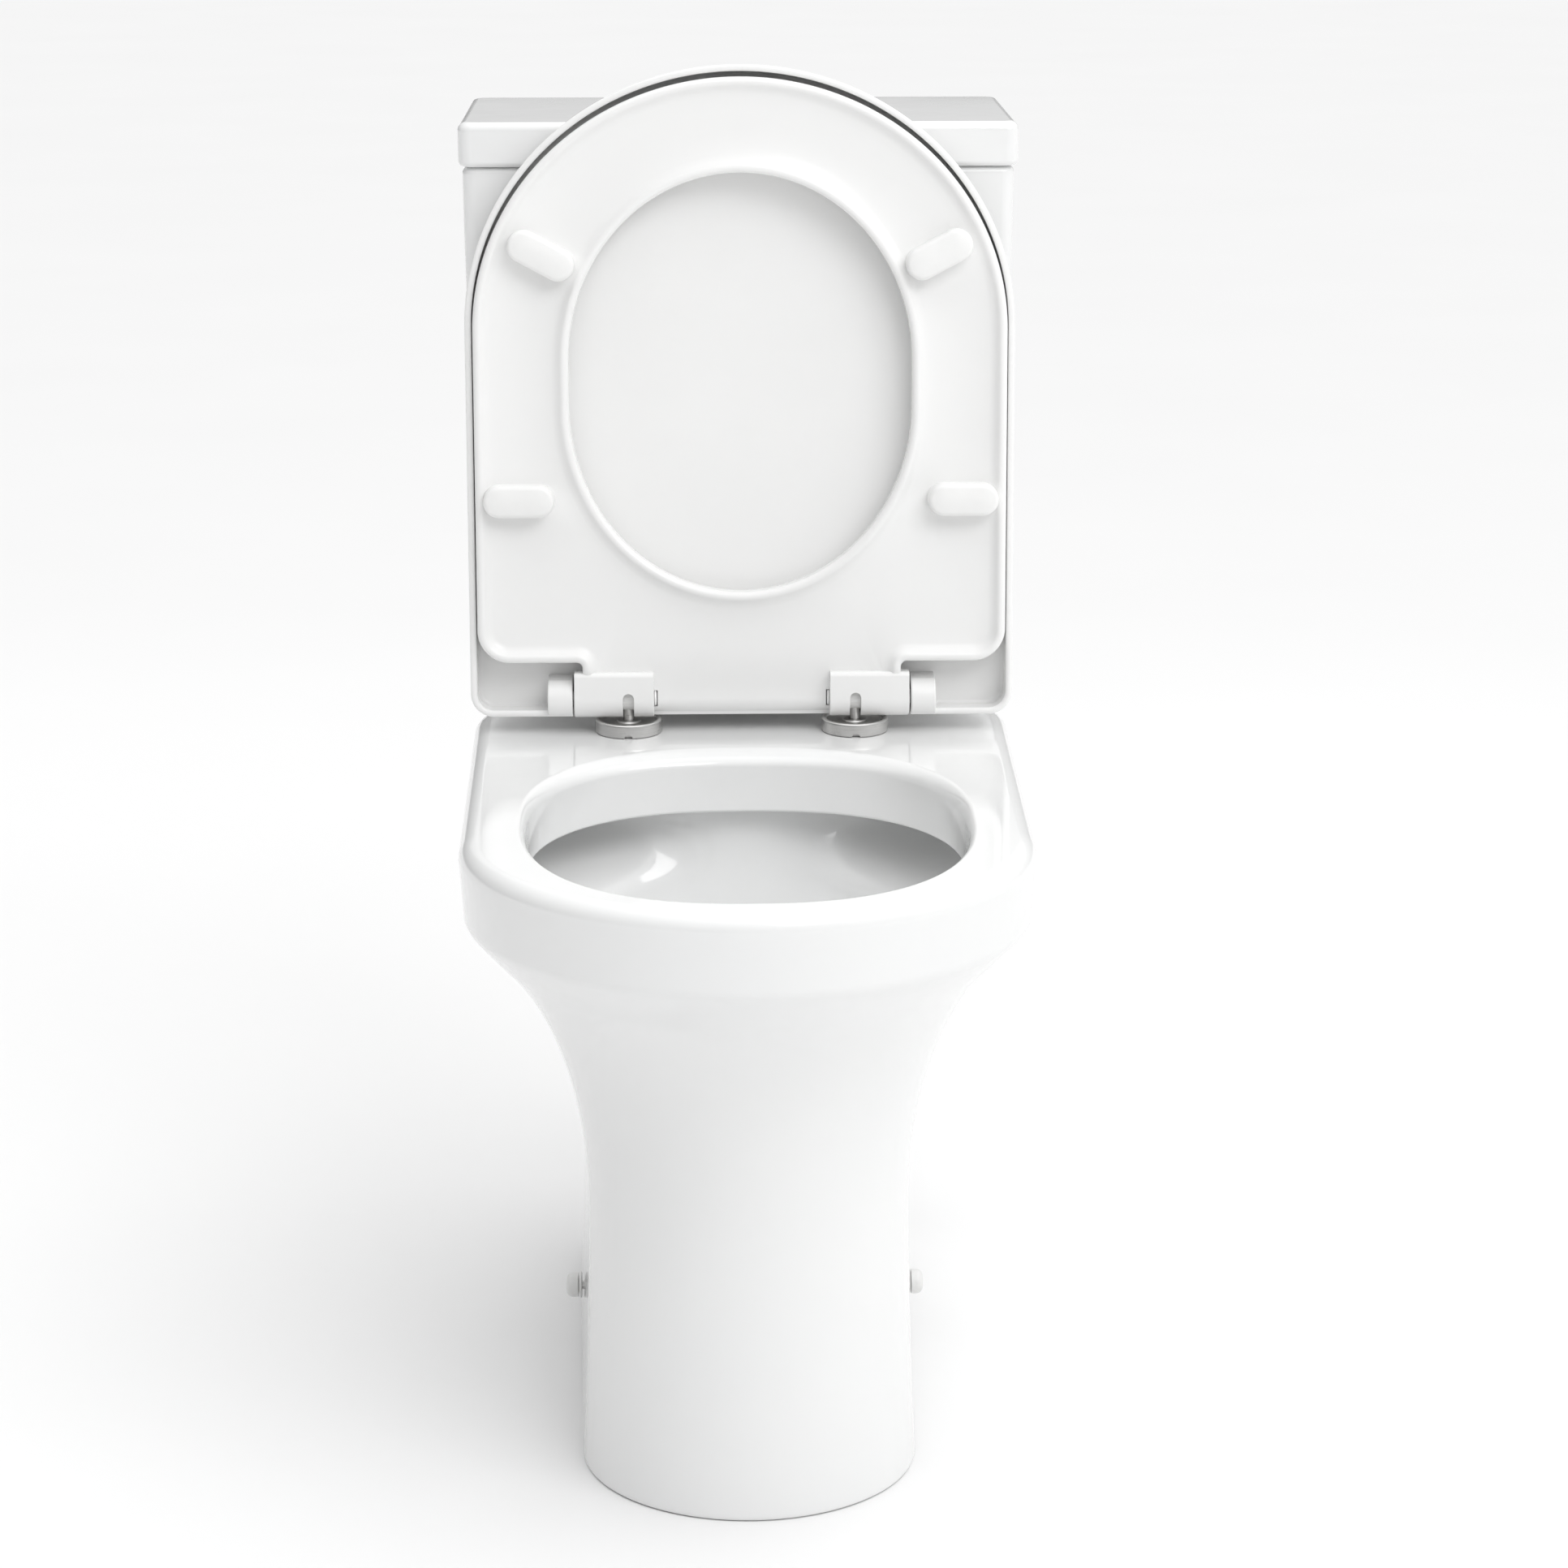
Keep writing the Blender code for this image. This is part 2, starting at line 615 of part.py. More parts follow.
def make_hinge(side, suffix):
    """One hinge: base disc, threaded steel post, damper core, rubber washer and wing nut."""
    x = side * HINGE_X
    disc = [(POST_RADIUS + 0.0004, 0.0), (DISC_RADIUS, 0.0), (DISC_RADIUS, DISC_HEIGHT - 0.001)]
    disc += [(DISC_RADIUS - 0.001, DISC_HEIGHT), (DISC_RADIUS - 0.003, DISC_HEIGHT)]
    disc += [(DISC_RADIUS - 0.004, DISC_HEIGHT - 0.0015), (POST_RADIUS + 0.0004, DISC_HEIGHT - 0.0015)]
    pipe_ring("hinge_disc_" + suffix, disc, (x, HINGE_Y, RIM_TOP + GAP), steel(), 24)
    post = [(POST_RADIUS - 0.0005, 0.372), (POST_RADIUS, 0.373), (POST_RADIUS, HINGE_AXIS_Z + 0.0015)]
    post.append((POST_RADIUS - 0.0005, HINGE_AXIS_Z + 0.0025))
    turned("hinge_post_" + suffix, post, (x, HINGE_Y, 0), steel(), segments=20)
    ends = [(CORE_RADIUS - 0.0005, BARREL_INNER_X + 0.0018), (CORE_RADIUS, BARREL_INNER_X + 0.0023)]
    ends += [(CORE_RADIUS, KNUCKLE_INNER_X - 0.0020), (PIVOT_RADIUS - GAP, KNUCKLE_INNER_X - 0.0019)]
    ends += [(PIVOT_RADIUS - GAP, KNUCKLE_OUTER_X - 0.0023)]
    ends = [(r, side * d) for r, d in ends]
    core = turned("hinge_core_" + suffix, ends, (0, HINGE_Y, HINGE_AXIS_Z), white_plastic(), "X", 24)
    socket = [(POST_RADIUS + 0.0004, 0.40), (POST_RADIUS + 0.0004, HINGE_AXIS_Z + 0.003)]
    combine(core, turned("socket", socket, (x, HINGE_Y, 0), segments=20))
    bake(core)
    deck_under = RIM_TOP - DECK_THICKNESS
    washer("hinge_washer_" + suffix, POST_RADIUS + 0.0004, 0.011, deck_under - 0.0043, deck_under - GAP,
           (x, HINGE_Y, 0), black_rubber(), 16)
    make_wing_nut("hinge_nut_" + suffix, (x, HINGE_Y, deck_under - 0.0156), POST_RADIUS + 0.0004, white_plastic())


def make_flat_nut(name, sides, radius, hole, low, high, centre, finish):
    """A nut with flat sides and a round hole."""
    nut = turned(name, [(radius, low), (radius, high)], centre, finish, segments=sides)
    for face in nut.data.polygons:
        face.use_smooth = False
    combine(nut, turned("nut_bore", [(hole, low - 0.01), (hole, high + 0.01)], centre, segments=24))
    return bake(nut)


def make_wing_nut(name, centre, hole, finish):
    """A wing nut standing on centre: a round hub with two flat wings."""
    x, y, z = centre
    nut = turned(name, [(0.0075, 0.0), (0.0085, 0.0009), (0.0085, 0.011)], centre, finish, segments=24)
    combine(nut, box("wings", (x - 0.0016, y - 0.017, z + 0.0012), (x + 0.0016, y + 0.017, z + 0.0102)), "UNION")
    combine(nut, turned("nut_hole", [(hole, -0.01), (hole, 0.03)], centre, segments=20))
    return bake(nut)


# ---------------------------------------------------------------- seat and lid


def place_on_hinge(made):
    """Puts a piece drawn closed about the hinge axis into the raised rest pose."""
    made.location = (0, HINGE_Y, HINGE_AXIS_Z)
    made.rotation_euler = (-OPEN_ANGLE, 0, 0)
    return made


def seat_outer(inset=0.0):
    """Half of the seat's outer outline from the tip round to the rear centre, on the +X side."""
    half = SEAT_HALF_WIDTH - inset
    bend = -SEAT_TIP + SEAT_FRONT_DEPTH
    corner = SEAT_CORNER - inset
    rear = -SEAT_REAR - inset
    right = arc((0, bend), half, SEAT_FRONT_DEPTH - inset, -90, 0, 14)
    right += [(half, bend + (rear - corner - bend) * k / 3) for k in range(1, 3)]
    right += arc((half - corner, rear - corner), corner, corner, 0, 90, 4)
    right += [((half - corner) * (1 - k / 4), rear) for k in range(1, 5)]
    return right


def seat_inner(inset=0.0):
    """Half of the seat opening's outline, with as many points as the outer one."""
    half = SEAT_OPENING_HALF_WIDTH + inset
    front_bend = -SEAT_OPENING_FRONT + 0.125
    rear_bend = -SEAT_OPENING_REAR - 0.126
    right = arc((0, front_bend), half, 0.125 + inset, -90, 0, 14)
    right += [(half, front_bend + (rear_bend - front_bend) * k / 3) for k in range(1, 3)]
    right += arc((0, rear_bend), half, 0.126 + inset, 0, 90, 8)
    return right


SEAT_SECTION = [
    (0.000, 0.0020), (0.000, -0.0100), (0.020, -0.0140), (0.060, -0.0130), (0.200, -0.0080), (0.500, -0.0060),
    (0.800, -0.0080), (0.940, -0.0135), (0.980, -0.0135), (1.000, -0.0100), (1.000, 0.0010), (0.960, 0.0060),
    (0.750, 0.0118), (0.500, 0.0129), (0.250, 0.0122), (0.060, 0.0080),
]


def barrel_outline():
    """A hinge barrel in (y, z), with the square shoulder by which it grows out of the seat."""
    outline = arc((0, 0), BARREL_RADIUS, BARREL_RADIUS, -90, 150, 22)
    outline.append((-BLOCK_REACH, 0.004))
    return outline + arc((-BLOCK_REACH + 0.002, -BARREL_RADIUS + 0.002), 0.002, 0.002, 180, 270, 3)


def make_seat():
    """The seat ring with its rear tongue and two slotted hinge barrels."""
    right_outer = seat_outer()
    right_inner = seat_inner()
    loops = []
    for (ox, oy), (ix, iy) in zip(right_outer, right_inner):
        loops.append([(ox + (ix - ox) * t, oy + (iy - oy) * t, z) for t, z in SEAT_SECTION])
    loops += [[(-x, y, z) for x, y, z in loop] for loop in reversed(loops[1:-1])]
    seat = flat_triangles(hoop("seat", loops, seat_plastic()))
    tongue = [(-0.0300, -0.0050), (-0.0500, 0.0035), (-0.0500, 0.0118), (-0.0200, SEAT_TOP)]
    tongue += arc((0, 0), BARREL_RADIUS - GAP, BARREL_RADIUS - GAP, 90, 18, 8)
    tongue += [(0.0090, 0.0008), (0.0040, -0.0020), (-0.0040, -0.0042), (-0.0140, -0.0050)]
    reach = BARREL_OUTER_X - 0.0012
    combine(seat, extruded("tongue", tongue, -reach, reach), "UNION")
    for side in (-1, 1):
        ends = sorted((side * BARREL_INNER_X, side * BARREL_OUTER_X))
        combine(seat, extruded("barrel", barrel_outline(), *ends), "UNION")
    for side in (-1, 1):
        bore_end = side * (BARREL_INNER_X + 0.0015)
        bore = [(PLUG_RADIUS + 0.0005, side * (BARREL_INNER_X - 0.0024))]
        bore += [(PLUG_RADIUS + 0.0005, side * BARREL_INNER_X), (0.0042, side * BARREL_INNER_X), (0.0042, bore_end)]
        bore += [(CORE_RADIUS + GAP, bore_end), (CORE_RADIUS + GAP, side * 0.12)]
        combine(seat, turned("bore", bore, (0, 0, 0), axis="X", segments=24))
        low = (side * HINGE_X - 0.0038, -0.0038, -0.02)
        combine(seat, box("slot", low, (side * HINGE_X + 0.0038, 0.02, 0.0052)))
        pocket = ((-0.030, -GAP), (BUFFER_BED + GAP, -GAP))
        for place in (BUFFER_REAR, BUFFER_FRONT):
            combine(seat, capsule("buffer_pocket", side, place, pocket))
    return place_on_hinge(bake(seat))


def capsule(name, side, place, sections, finish=None):
    """A capsule-shaped block under the seat through (height, inset) sections."""
    x, y, turn = place
    radius = BUFFER_WIDTH / 2
    reach = BUFFER_LENGTH / 2 - radius
    rings = []
    for z, inset in sections:
        ring = arc((reach, 0), radius - inset, radius - inset, -90, 90, 8)
        ring += arc((-reach, 0), radius - inset, radius - inset, 90, 270, 8)
        rings.append([(px, py, z) for px, py in ring])
    block = stack(name, rings, finish)
    spin = Matrix.Rotation(side * turn, 4, "Z")
    block.data.transform(Matrix.Translation((side * x, y, 0)) @ spin)
    return block


def make_buffers():
    """Four soft buffers, each bedded in a shallow pocket under the seat."""
    low = BUFFER_BOTTOM
    sections = ((BUFFER_BED, 0.0), (low + 0.002, 0.0002), (low + 0.0004, 0.0016), (low, 0.004))
    for part, place in (("rear", BUFFER_REAR), ("front", BUFFER_FRONT)):
        for side, suffix in ((-1, "left"), (1, "right")):
            buffer = capsule(f"seat_buffer_{part}_{suffix}", side, place, sections, buffer_rubber())
            place_on_hinge(buffer)


def make_seat_plugs():
    """The small plugs that close the barrels' inner ends."""
    for side, suffix in ((-1, "left"), (1, "right")):
        x = side * BARREL_INNER_X
        plug = [(PLUG_RADIUS - 0.001, -0.0018), (PLUG_RADIUS, -0.0012), (PLUG_RADIUS, -GAP)]
        plug += [(0.0039, -GAP + 0.00001), (0.0039, 0.0014)]
        plug = [(r, side * h) for r, h in plug]
        made = turned("hinge_plug_" + suffix, plug, (x, 0, 0), seat_plastic(), "X", 16)
        place_on_hinge(made)


def lid_ring(inset, z):
    """The toilet lid's outline at a height, drawn in by an inset."""
    half = LID_HALF_WIDTH - inset
    bend = -LID_TIP + LID_FRONT_DEPTH
    corner = max(LID_CORNER - inset, 0.004)
    rear = LID_REAR - inset
    right = arc((0, bend), half, LID_FRONT_DEPTH - inset, -90, 0, 16)
    right += [(half, bend + (rear - corner - bend) * k / 4) for k in range(1, 4)]
    right += arc((half - corner, rear - corner), corner, corner, 0, 90, 4)
    left = [(-x, y) for x, y in reversed(right[1:])]
    return [(x, y, z) for x, y in right + left]


def make_toilet_lid():
    """The lid: a shallow tray that wraps the seat, with a knuckle at each hinge."""
    sections = [(LID_WALL + 0.002, LID_INNER), (LID_WALL, LID_INNER - 0.002), (LID_WALL, LID_LIP + 0.0015)]
    sections += [(LID_WALL - 0.0015, LID_LIP), (0.0015, LID_LIP), (0.0, LID_LIP + 0.0015), (0.0, 0.0115)]
    sections += [(0.0008, 0.0150), (0.0030, 0.0180), (0.0062, 0.0193), (0.0100, LID_TOP)]
    lid = stack("toilet_lid", [lid_ring(inset, z) for inset, z in sections], seat_plastic())
    middle = KNUCKLE_INNER_X
    combine(lid, box("rear_gap", (-middle, -0.020, -0.02), (middle, 0.03, LID_INNER)))
    for side in (-1, 1):
        ends = sorted((side * KNUCKLE_INNER_X, side * KNUCKLE_OUTER_X))
        outline = [(0.0115, LID_INNER + 0.002), (-BARREL_RADIUS, LID_INNER + 0.002)]
        outline += arc((0, 0), BARREL_RADIUS, BARREL_RADIUS, 180, 332, 14)
        combine(lid, extruded("knuckle", outline, *ends), "UNION")
    for side in (-1, 1):
        bore = [(PIVOT_RADIUS, side * (KNUCKLE_INNER_X - 0.003)), (PIVOT_RADIUS, side * (KNUCKLE_OUTER_X - 0.002))]
        combine(lid, turned("pivot_bore", bore, (0, 0, 0), axis="X", segments=20))
    return place_on_hinge(bake(lid))


# ---------------------------------------------------------------- flush works


def make_button():
    """The dual button's bezel, nut, and its full and half flush keys with their push rods."""
    top = CISTERN_LID_TOP
    inner = BUTTON_RADIUS + 0.0006
    thread = BEZEL_TUBE_RADIUS
    bezel = [(inner, -0.034), (thread, -0.034), (thread, GAP), (BEZEL_RADIUS, GAP), (BEZEL_RADIUS, 0.0016)]
    bezel += [(BEZEL_RADIUS - 0.002, 0.0032), (inner + 0.001, 0.0040), (inner, 0.0034)]
    pipe_ring("button_bezel", bezel, (0, FLUSH_Y, top), chrome(), 28)
    under = CISTERN_LID_CEILING
    washer("button_nut", thread + GAP, 0.029, -0.0084, -GAP, (0, FLUSH_Y, under), white_plastic(), 24)
    split = 0.0045
    rods = {"full_flush_button": (-1, -0.008), "half_flush_button": (1, 0.011)}
    for name, (side, rod_x) in rods.items():
        bound = (split - 0.0003) if side < 0 else (split + 0.0003)
        disc = [(BUTTON_RADIUS, 0.8285), (BUTTON_RADIUS, 0.8350), (BUTTON_RADIUS - 0.0008, 0.8358)]
        key = turned(name, disc, (0, FLUSH_Y, 0), chrome(), segments=32)
        low = (bound, 0.0, 0.7) if side < 0 else (-0.05, 0.0, 0.7)
        high = (0.05, 0.5, 0.9) if side < 0 else (bound, 0.5, 0.9)
        combine(key, box("half", low, high))
        rod = [(0.0028, VALVE_TOP + BUTTON_TRAVEL + 0.0025), (0.0028, 0.8300)]
        combine(key, turned("rod", rod, (rod_x, FLUSH_Y, 0), segments=12), "UNION")
        bake(key)


def make_flush_valve():
    """The flush valve: body with water ports, lifting core with overflow, seal, backnut and gasket."""
    floor = CISTERN_BOTTOM + CISTERN_FLOOR
    outer = VALVE_RADIUS
    body = [(0.0215, 0.400), (0.0275, 0.400), (0.0275, floor + GAP), (0.040, floor + GAP), (0.040, floor + 0.006)]
    body += [(outer, floor + 0.007), (outer, VALVE_TOP), (outer - 0.0025, VALVE_TOP), (outer - 0.0025, floor + 0.010)]
    body += [(0.0215, floor + 0.010)]
    valve = pipe_ring("flush_valve_body", body, (0, FLUSH_Y, 0), white_plastic(), 24)
    for turn in (0, 60, 120):
        port = box("port", (-0.05, -0.009, 0.0), (0.05, 0.009, 0.045))
        port.data.transform(Matrix.Translation((0, FLUSH_Y, floor + 0.016)) @ Matrix.Rotation(radians(turn), 4, "Z"))
        combine(valve, port)
    bake(valve)
    seat_z = floor + 0.0103
    washer("flush_seal", 0.012, 0.0262, seat_z, seat_z + 0.004, (0, FLUSH_Y, 0), black_rubber(), 24)
    core = [(0.0090, seat_z + 0.0043), (0.0255, seat_z + 0.0043), (0.0255, seat_z + 0.010)]
    core += [(0.0115, seat_z + 0.014), (0.0115, VALVE_TOP - 0.014), (0.0090, VALVE_TOP - 0.014)]
    pipe_ring("flush_valve_core", core, (0, FLUSH_Y, 0), grey_plastic(), 20)
    nut_top = CISTERN_BOTTOM - GAP
    nut_low = RIM_TOP - GASKET_RECESS_DEPTH + 0.0012
    place = (0, FLUSH_Y, 0)
    make_flat_nut("flush_backnut", 12, BACKNUT_RADIUS, 0.0280, nut_low, nut_top, place, white_plastic())
    gasket = [(BACKNUT_RADIUS + 0.0004, nut_low - 0.0009), (0.0490, nut_low - 0.0009)]
    gasket += [(0.0490, nut_top - 0.003), (0.0465, nut_top), (BACKNUT_RADIUS + 0.0004, nut_top)]
    pipe_ring("coupling_gasket", gasket, (0, FLUSH_Y, 0), black_rubber(), 24)


def make_fill_valve():
    """The fill valve: a column on a threaded tail, its nut and seal, a sliding float and a lever."""
    floor = CISTERN_BOTTOM + CISTERN_FLOOR
    x = INLET_X
    place = (x, FLUSH_Y, 0)
    column = [(INLET_RADIUS, 0.392), (INLET_RADIUS, floor + 0.0023), (0.019, floor + 0.0024), (0.019, floor + 0.008)]
    column += [(0.0100, floor + 0.010), (0.0100, VALVE_HEAD_Z - 0.030), (0.0150, VALVE_HEAD_Z - 0.028)]
    column += [(0.0150, VALVE_HEAD_Z - 0.003), (0.0120, VALVE_HEAD_Z)]
    valve = turned("fill_valve", column, place, white_plastic(), segments=24)
    pivot = (x + LEVER_PIVOT_X, FLUSH_Y, LEVER_PIVOT_Z)
    for side in (-1, 1):
        near, far = sorted((side * 0.0036, side * 0.0064))
        low = (pivot[0] - 0.0035, FLUSH_Y + near, VALVE_HEAD_Z - 0.006)
        combine(valve, box("ear", low, (pivot[0] + 0.0035, FLUSH_Y + far, LEVER_PIVOT_Z + 0.0035)), "UNION")
    combine(valve, turned("ear_hole", [(0.0021, -0.01), (0.0021, 0.01)], pivot, axis="Y", segments=12))
    bake(valve)
    washer("fill_valve_seal", INLET_RADIUS + 0.0004, 0.0175, floor + GAP, floor + 0.0020, place, black_rubber(), 16)
    nut_top = CISTERN_BOTTOM - GAP
    make_flat_nut("fill_valve_nut", 6, 0.0175, INLET_RADIUS + 0.0004, nut_top - 0.009, nut_top, place, white_plastic())
    bob = [(0.0108, 0.0), (0.0235, 0.0), (0.0245, 0.001), (0.0245, 0.048), (0.0235, 0.050), (0.0108, 0.050)]
    bob = pipe_ring("fill_float", bob, (x, FLUSH_Y, FLOAT_Z), grey_plastic(), 20)
    rod_top = LEVER_PIVOT_Z - 0.0028 - FLOAT_TRAVEL
    rod = [(0.0016, FLOAT_Z + 0.040), (0.0016, rod_top)]
    combine(bob, turned("rod", rod, (x + FLOAT_ROD_X, FLUSH_Y, 0), segments=10), "UNION")
    bake(bob)
    lever = box("float_lever", (-0.005, -0.003, -0.002), (FLOAT_ROD_X - LEVER_PIVOT_X + 0.006, 0.003, 0.002), white_plastic())
    combine(lever, turned("lever_pin", [(0.0018, -0.0062), (0.0018, 0.0062)], (0, 0, 0), axis="Y", segments=12), "UNION")
    bake(lever)
    lever.location = pivot
    lever.rotation_euler = (0, LEVER_DROOP, 0)


def make_coupling_bolts():
    """Two bolts that hold the cistern on the pan, each with a rubber seal and a wing nut."""
    floor = CISTERN_BOTTOM + CISTERN_FLOOR
    deck_under = RIM_TOP - DECK_THICKNESS
    for side, suffix in ((-1, "left"), (1, "right")):
        x = side * COUPLING_X
        bolt = [(COUPLING_RADIUS, 0.378), (COUPLING_RADIUS, floor + 0.0041), (0.0105, floor + 0.0042)]
        bolt += [(0.0105, floor + 0.0075), (0.0080, floor + 0.0092)]
        turned("coupling_bolt_" + suffix, bolt, (x, FLUSH_Y, 0), brass(), segments=16)
        washer("coupling_seal_" + suffix, COUPLING_RADIUS + 0.0004, 0.0125, floor + GAP, floor + 0.0038,
               (x, FLUSH_Y, 0), black_rubber(), 16)
        nut_z = deck_under - GAP - 0.011
        make_wing_nut("coupling_nut_" + suffix, (x, FLUSH_Y, nut_z), COUPLING_RADIUS + 0.0004, brass())


# ---------------------------------------------------------------- floor fixings


def make_floor_fixings():
    """On each side of the foot: an angle bracket inside, a side screw, a collar and a domed cap."""
    wall_x = pan_outline(FIXING_Z)
    half = side_half_width(wall_x, FIXING_Y)
    for side, suffix in ((-1, "left"), (1, "right")):
        inner = half - WALL - 0.0020
        y = FIXING_Y
        outline = [(inner, 0.0), (inner, 0.058), (inner - 0.003, 0.058), (inner - 0.003, 0.003), (inner - 0.032, 0.003)]
        outline.append((inner - 0.032, 0.0))
        rings = [[(side * px, py, pz) for px, pz in outline] for py in (y - 0.016, y + 0.016)]
        bracket = stack("floor_bracket_" + suffix, rings, steel(), smooth=False)
        hole = [(0.0034, side * 0.07), (0.0034, side * 0.13)]
        combine(bracket, turned("bracket_hole", hole, (0, y, FIXING_Z), axis="X", segments=16))
        anchor = [(0.0035, -0.01), (0.0035, 0.01)]
        combine(bracket, turned("anchor_hole", anchor, (side * (inner - 0.018), y, 0), segments=16))
        bake(bracket)
        face = half + 0.0012
        screw = [(BOLT_RADIUS, inner - 0.008), (BOLT_RADIUS, face + 0.0021), (0.0060, face + 0.0022)]
        screw += [(0.0060, face + 0.0045), (0.0045, face + 0.0058)]
        screw = [(r, side * d) for r, d in screw]
        turned("side_screw_" + suffix, screw, (0, y, FIXING_Z), steel(), "X", 20)
        collar = [(BOLT_RADIUS + 0.0004, face), (CAP_RADIUS + 0.0006, face), (CAP_RADIUS + 0.0006, face + 0.0018)]
        collar.append((BOLT_RADIUS + 0.0004, face + 0.0018))
        make_side_ring("cap_collar_" + suffix, collar, side, y)
        cap = [(0.0066, face + 0.0025), (CAP_RADIUS, face + 0.0025), (CAP_RADIUS, face + 0.0065)]
        cap += [(CAP_RADIUS - 0.0012, face + 0.0092), (CAP_RADIUS - 0.0040, face + 0.0108)]
        cap = [(r, side * d) for r, d in cap]
        made = turned("screw_cap_" + suffix, cap, (0, y, FIXING_Z), white_plastic(), "X", 20)
        inside = [(0.0066, side * (face - 0.002)), (0.0066, side * (face + 0.0075))]
        combine(made, turned("cap_inside", inside, (0, y, FIXING_Z), axis="X", segments=20))
        bake(made)


def side_half_width(outline, y):
    """Half width of an outline where it crosses a given y, on the +X side."""
    points = [(px, py) for px, py, _ in outline if px > 0.01]
    for (x0, y0), (x1, y1) in zip(points, points[1:]):
        if y0 <= y <= y1:
            return x0 + (x1 - x0) * (y - y0) / (y1 - y0)
    return max(px for px, _ in points)


def make_side_ring(name, profile, side, y):
    """A ring turned about the X axis at a floor fixing."""
    loops = []
    for k in range(20):
        angle = 2 * pi * k / 20
        loops.append([(side * d, y + r * cos(angle), FIXING_Z + r * sin(angle)) for r, d in profile])
    made = hoop(name, loops, white_plastic())
    for face in made.data.polygons:
        face.use_smooth = False
    return made


def main():
    for old in list(bpy.data.objects):
        bpy.data.objects.remove(old)
    make_pan()
    make_cistern()
    make_cistern_lid()
    for side, suffix in ((-1, "left"), (1, "right")):
        make_hinge(side, suffix)
    make_seat()
    make_buffers()
    make_seat_plugs()
    make_toilet_lid()
    make_button()
    make_flush_valve()
    make_fill_valve()
    make_coupling_bolts()
    make_floor_fixings()


main()
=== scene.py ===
"""Close coupled toilet: the finished look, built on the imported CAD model.

Metres, +Z up. The floor is z = 0, +Y is the wall side and the toilet is mirrored about x = 0.
"""

import json
from math import cos, pi, radians, sin, sqrt

import bmesh
import bpy
from mathutils import Matrix, Vector

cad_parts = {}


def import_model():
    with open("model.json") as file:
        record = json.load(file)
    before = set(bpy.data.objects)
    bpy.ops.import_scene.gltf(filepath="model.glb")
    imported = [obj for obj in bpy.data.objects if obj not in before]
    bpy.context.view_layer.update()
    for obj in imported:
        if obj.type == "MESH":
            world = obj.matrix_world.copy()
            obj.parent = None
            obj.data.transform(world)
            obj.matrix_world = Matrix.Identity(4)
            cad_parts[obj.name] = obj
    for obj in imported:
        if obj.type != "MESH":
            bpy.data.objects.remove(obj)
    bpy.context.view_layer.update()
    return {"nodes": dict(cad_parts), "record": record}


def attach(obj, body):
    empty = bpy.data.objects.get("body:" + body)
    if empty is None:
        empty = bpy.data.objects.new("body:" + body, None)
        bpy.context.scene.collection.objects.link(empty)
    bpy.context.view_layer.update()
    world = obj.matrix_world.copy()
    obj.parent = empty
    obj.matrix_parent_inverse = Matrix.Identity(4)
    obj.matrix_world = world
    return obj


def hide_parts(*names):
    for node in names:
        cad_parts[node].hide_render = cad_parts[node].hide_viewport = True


# Overall sizes, as in the CAD
FRONT_Y = -0.332
BACK_Y = 0.332
RIM_TOP = 0.425
HINGE_Y = FRONT_Y + 0.420
HINGE_AXIS_Z = RIM_TOP + 0.0235
OPEN_ANGLE = radians(95.0)
GAP = 0.0003
SIDES = ((-1, "left"), (1, "right"))

# Pan, outside
RIM_HALF_WIDTH = 0.1802
RIM_FRONT_DEPTH = 0.170
RIM_ROUND = 0.012
RIM_SPREAD = 0.0175
APRON_BOTTOM = 0.366
APRON_DRAFT = 0.003
FLARE_BOTTOM = 0.178
FLARE_HEIGHT = 0.1993
FLARE_REACH = 1.515
CREASE_BLEND = 0.30
COLUMN_HALF_WIDTH = 0.1032
COLUMN_SPREAD = 0.0322
FOOT_FLARE = 0.0055
FOOT_FLARE_TOP = 0.165
FOOT_SETBACK = 0.0836
FOOT_FRONT_DEPTH = 0.1036
SHOULDER_Y = 0.130
WAIST_Y = 0.215
DECK_REAR_Y = 0.318
DECK_REAR_HALF_WIDTH = 0.118
COLUMN_REAR_Y = 0.220
COLUMN_REAR_HALF_WIDTH = 0.112
WALL = 0.012
DECK_THICKNESS = 0.014
DECK_CORNER = 0.030

# Pan, inside
OPENING_HALF_WIDTH = 0.1400
OPENING_FRONT_Y = HINGE_Y - 0.391
OPENING_REAR_Y = HINGE_Y - 0.061
OPENING_WIDEST_Y = HINGE_Y - 0.207
OPENING_ROUND = 0.005
OPENING_REAR_ROUND = 0.017
OPENING_DROP = 0.010
SQUARENESS = 0.833
LIP_BOTTOM = 0.384
LIP_THICKNESS = 0.009
CHANNEL_WIDTH = 0.010
CHANNEL_SWELL = 0.040
FRONT_SHARE = 0.75
CHANNEL_TOP = 0.408
BOWL_TOP = 0.378
SUMP_Z = 0.166
SUMP_HALF_WIDTH = 0.034
SUMP_FRONT_Y = -0.075
SUMP_REAR_Y = 0.005
SHELL = 0.011
TRAP_RADIUS = 0.027
OUTLET_Z = 0.180
OUTLET_RADIUS = 0.041
SPIGOT_RADIUS = 0.051
SPIGOT_END_Y = 0.322
FLUSH_Y = 0.240
DUCT_HALF_WIDTH = 0.022
DUCT_BOTTOM = 0.387
DUCT_TOP = 0.405
DUCT_WALL = 0.012
FLUSH_HOLE_RADIUS = 0.030
GASKET_RECESS_RADIUS = 0.050
GASKET_RECESS_DEPTH = 0.008
ABOVE_PAN = 0.5

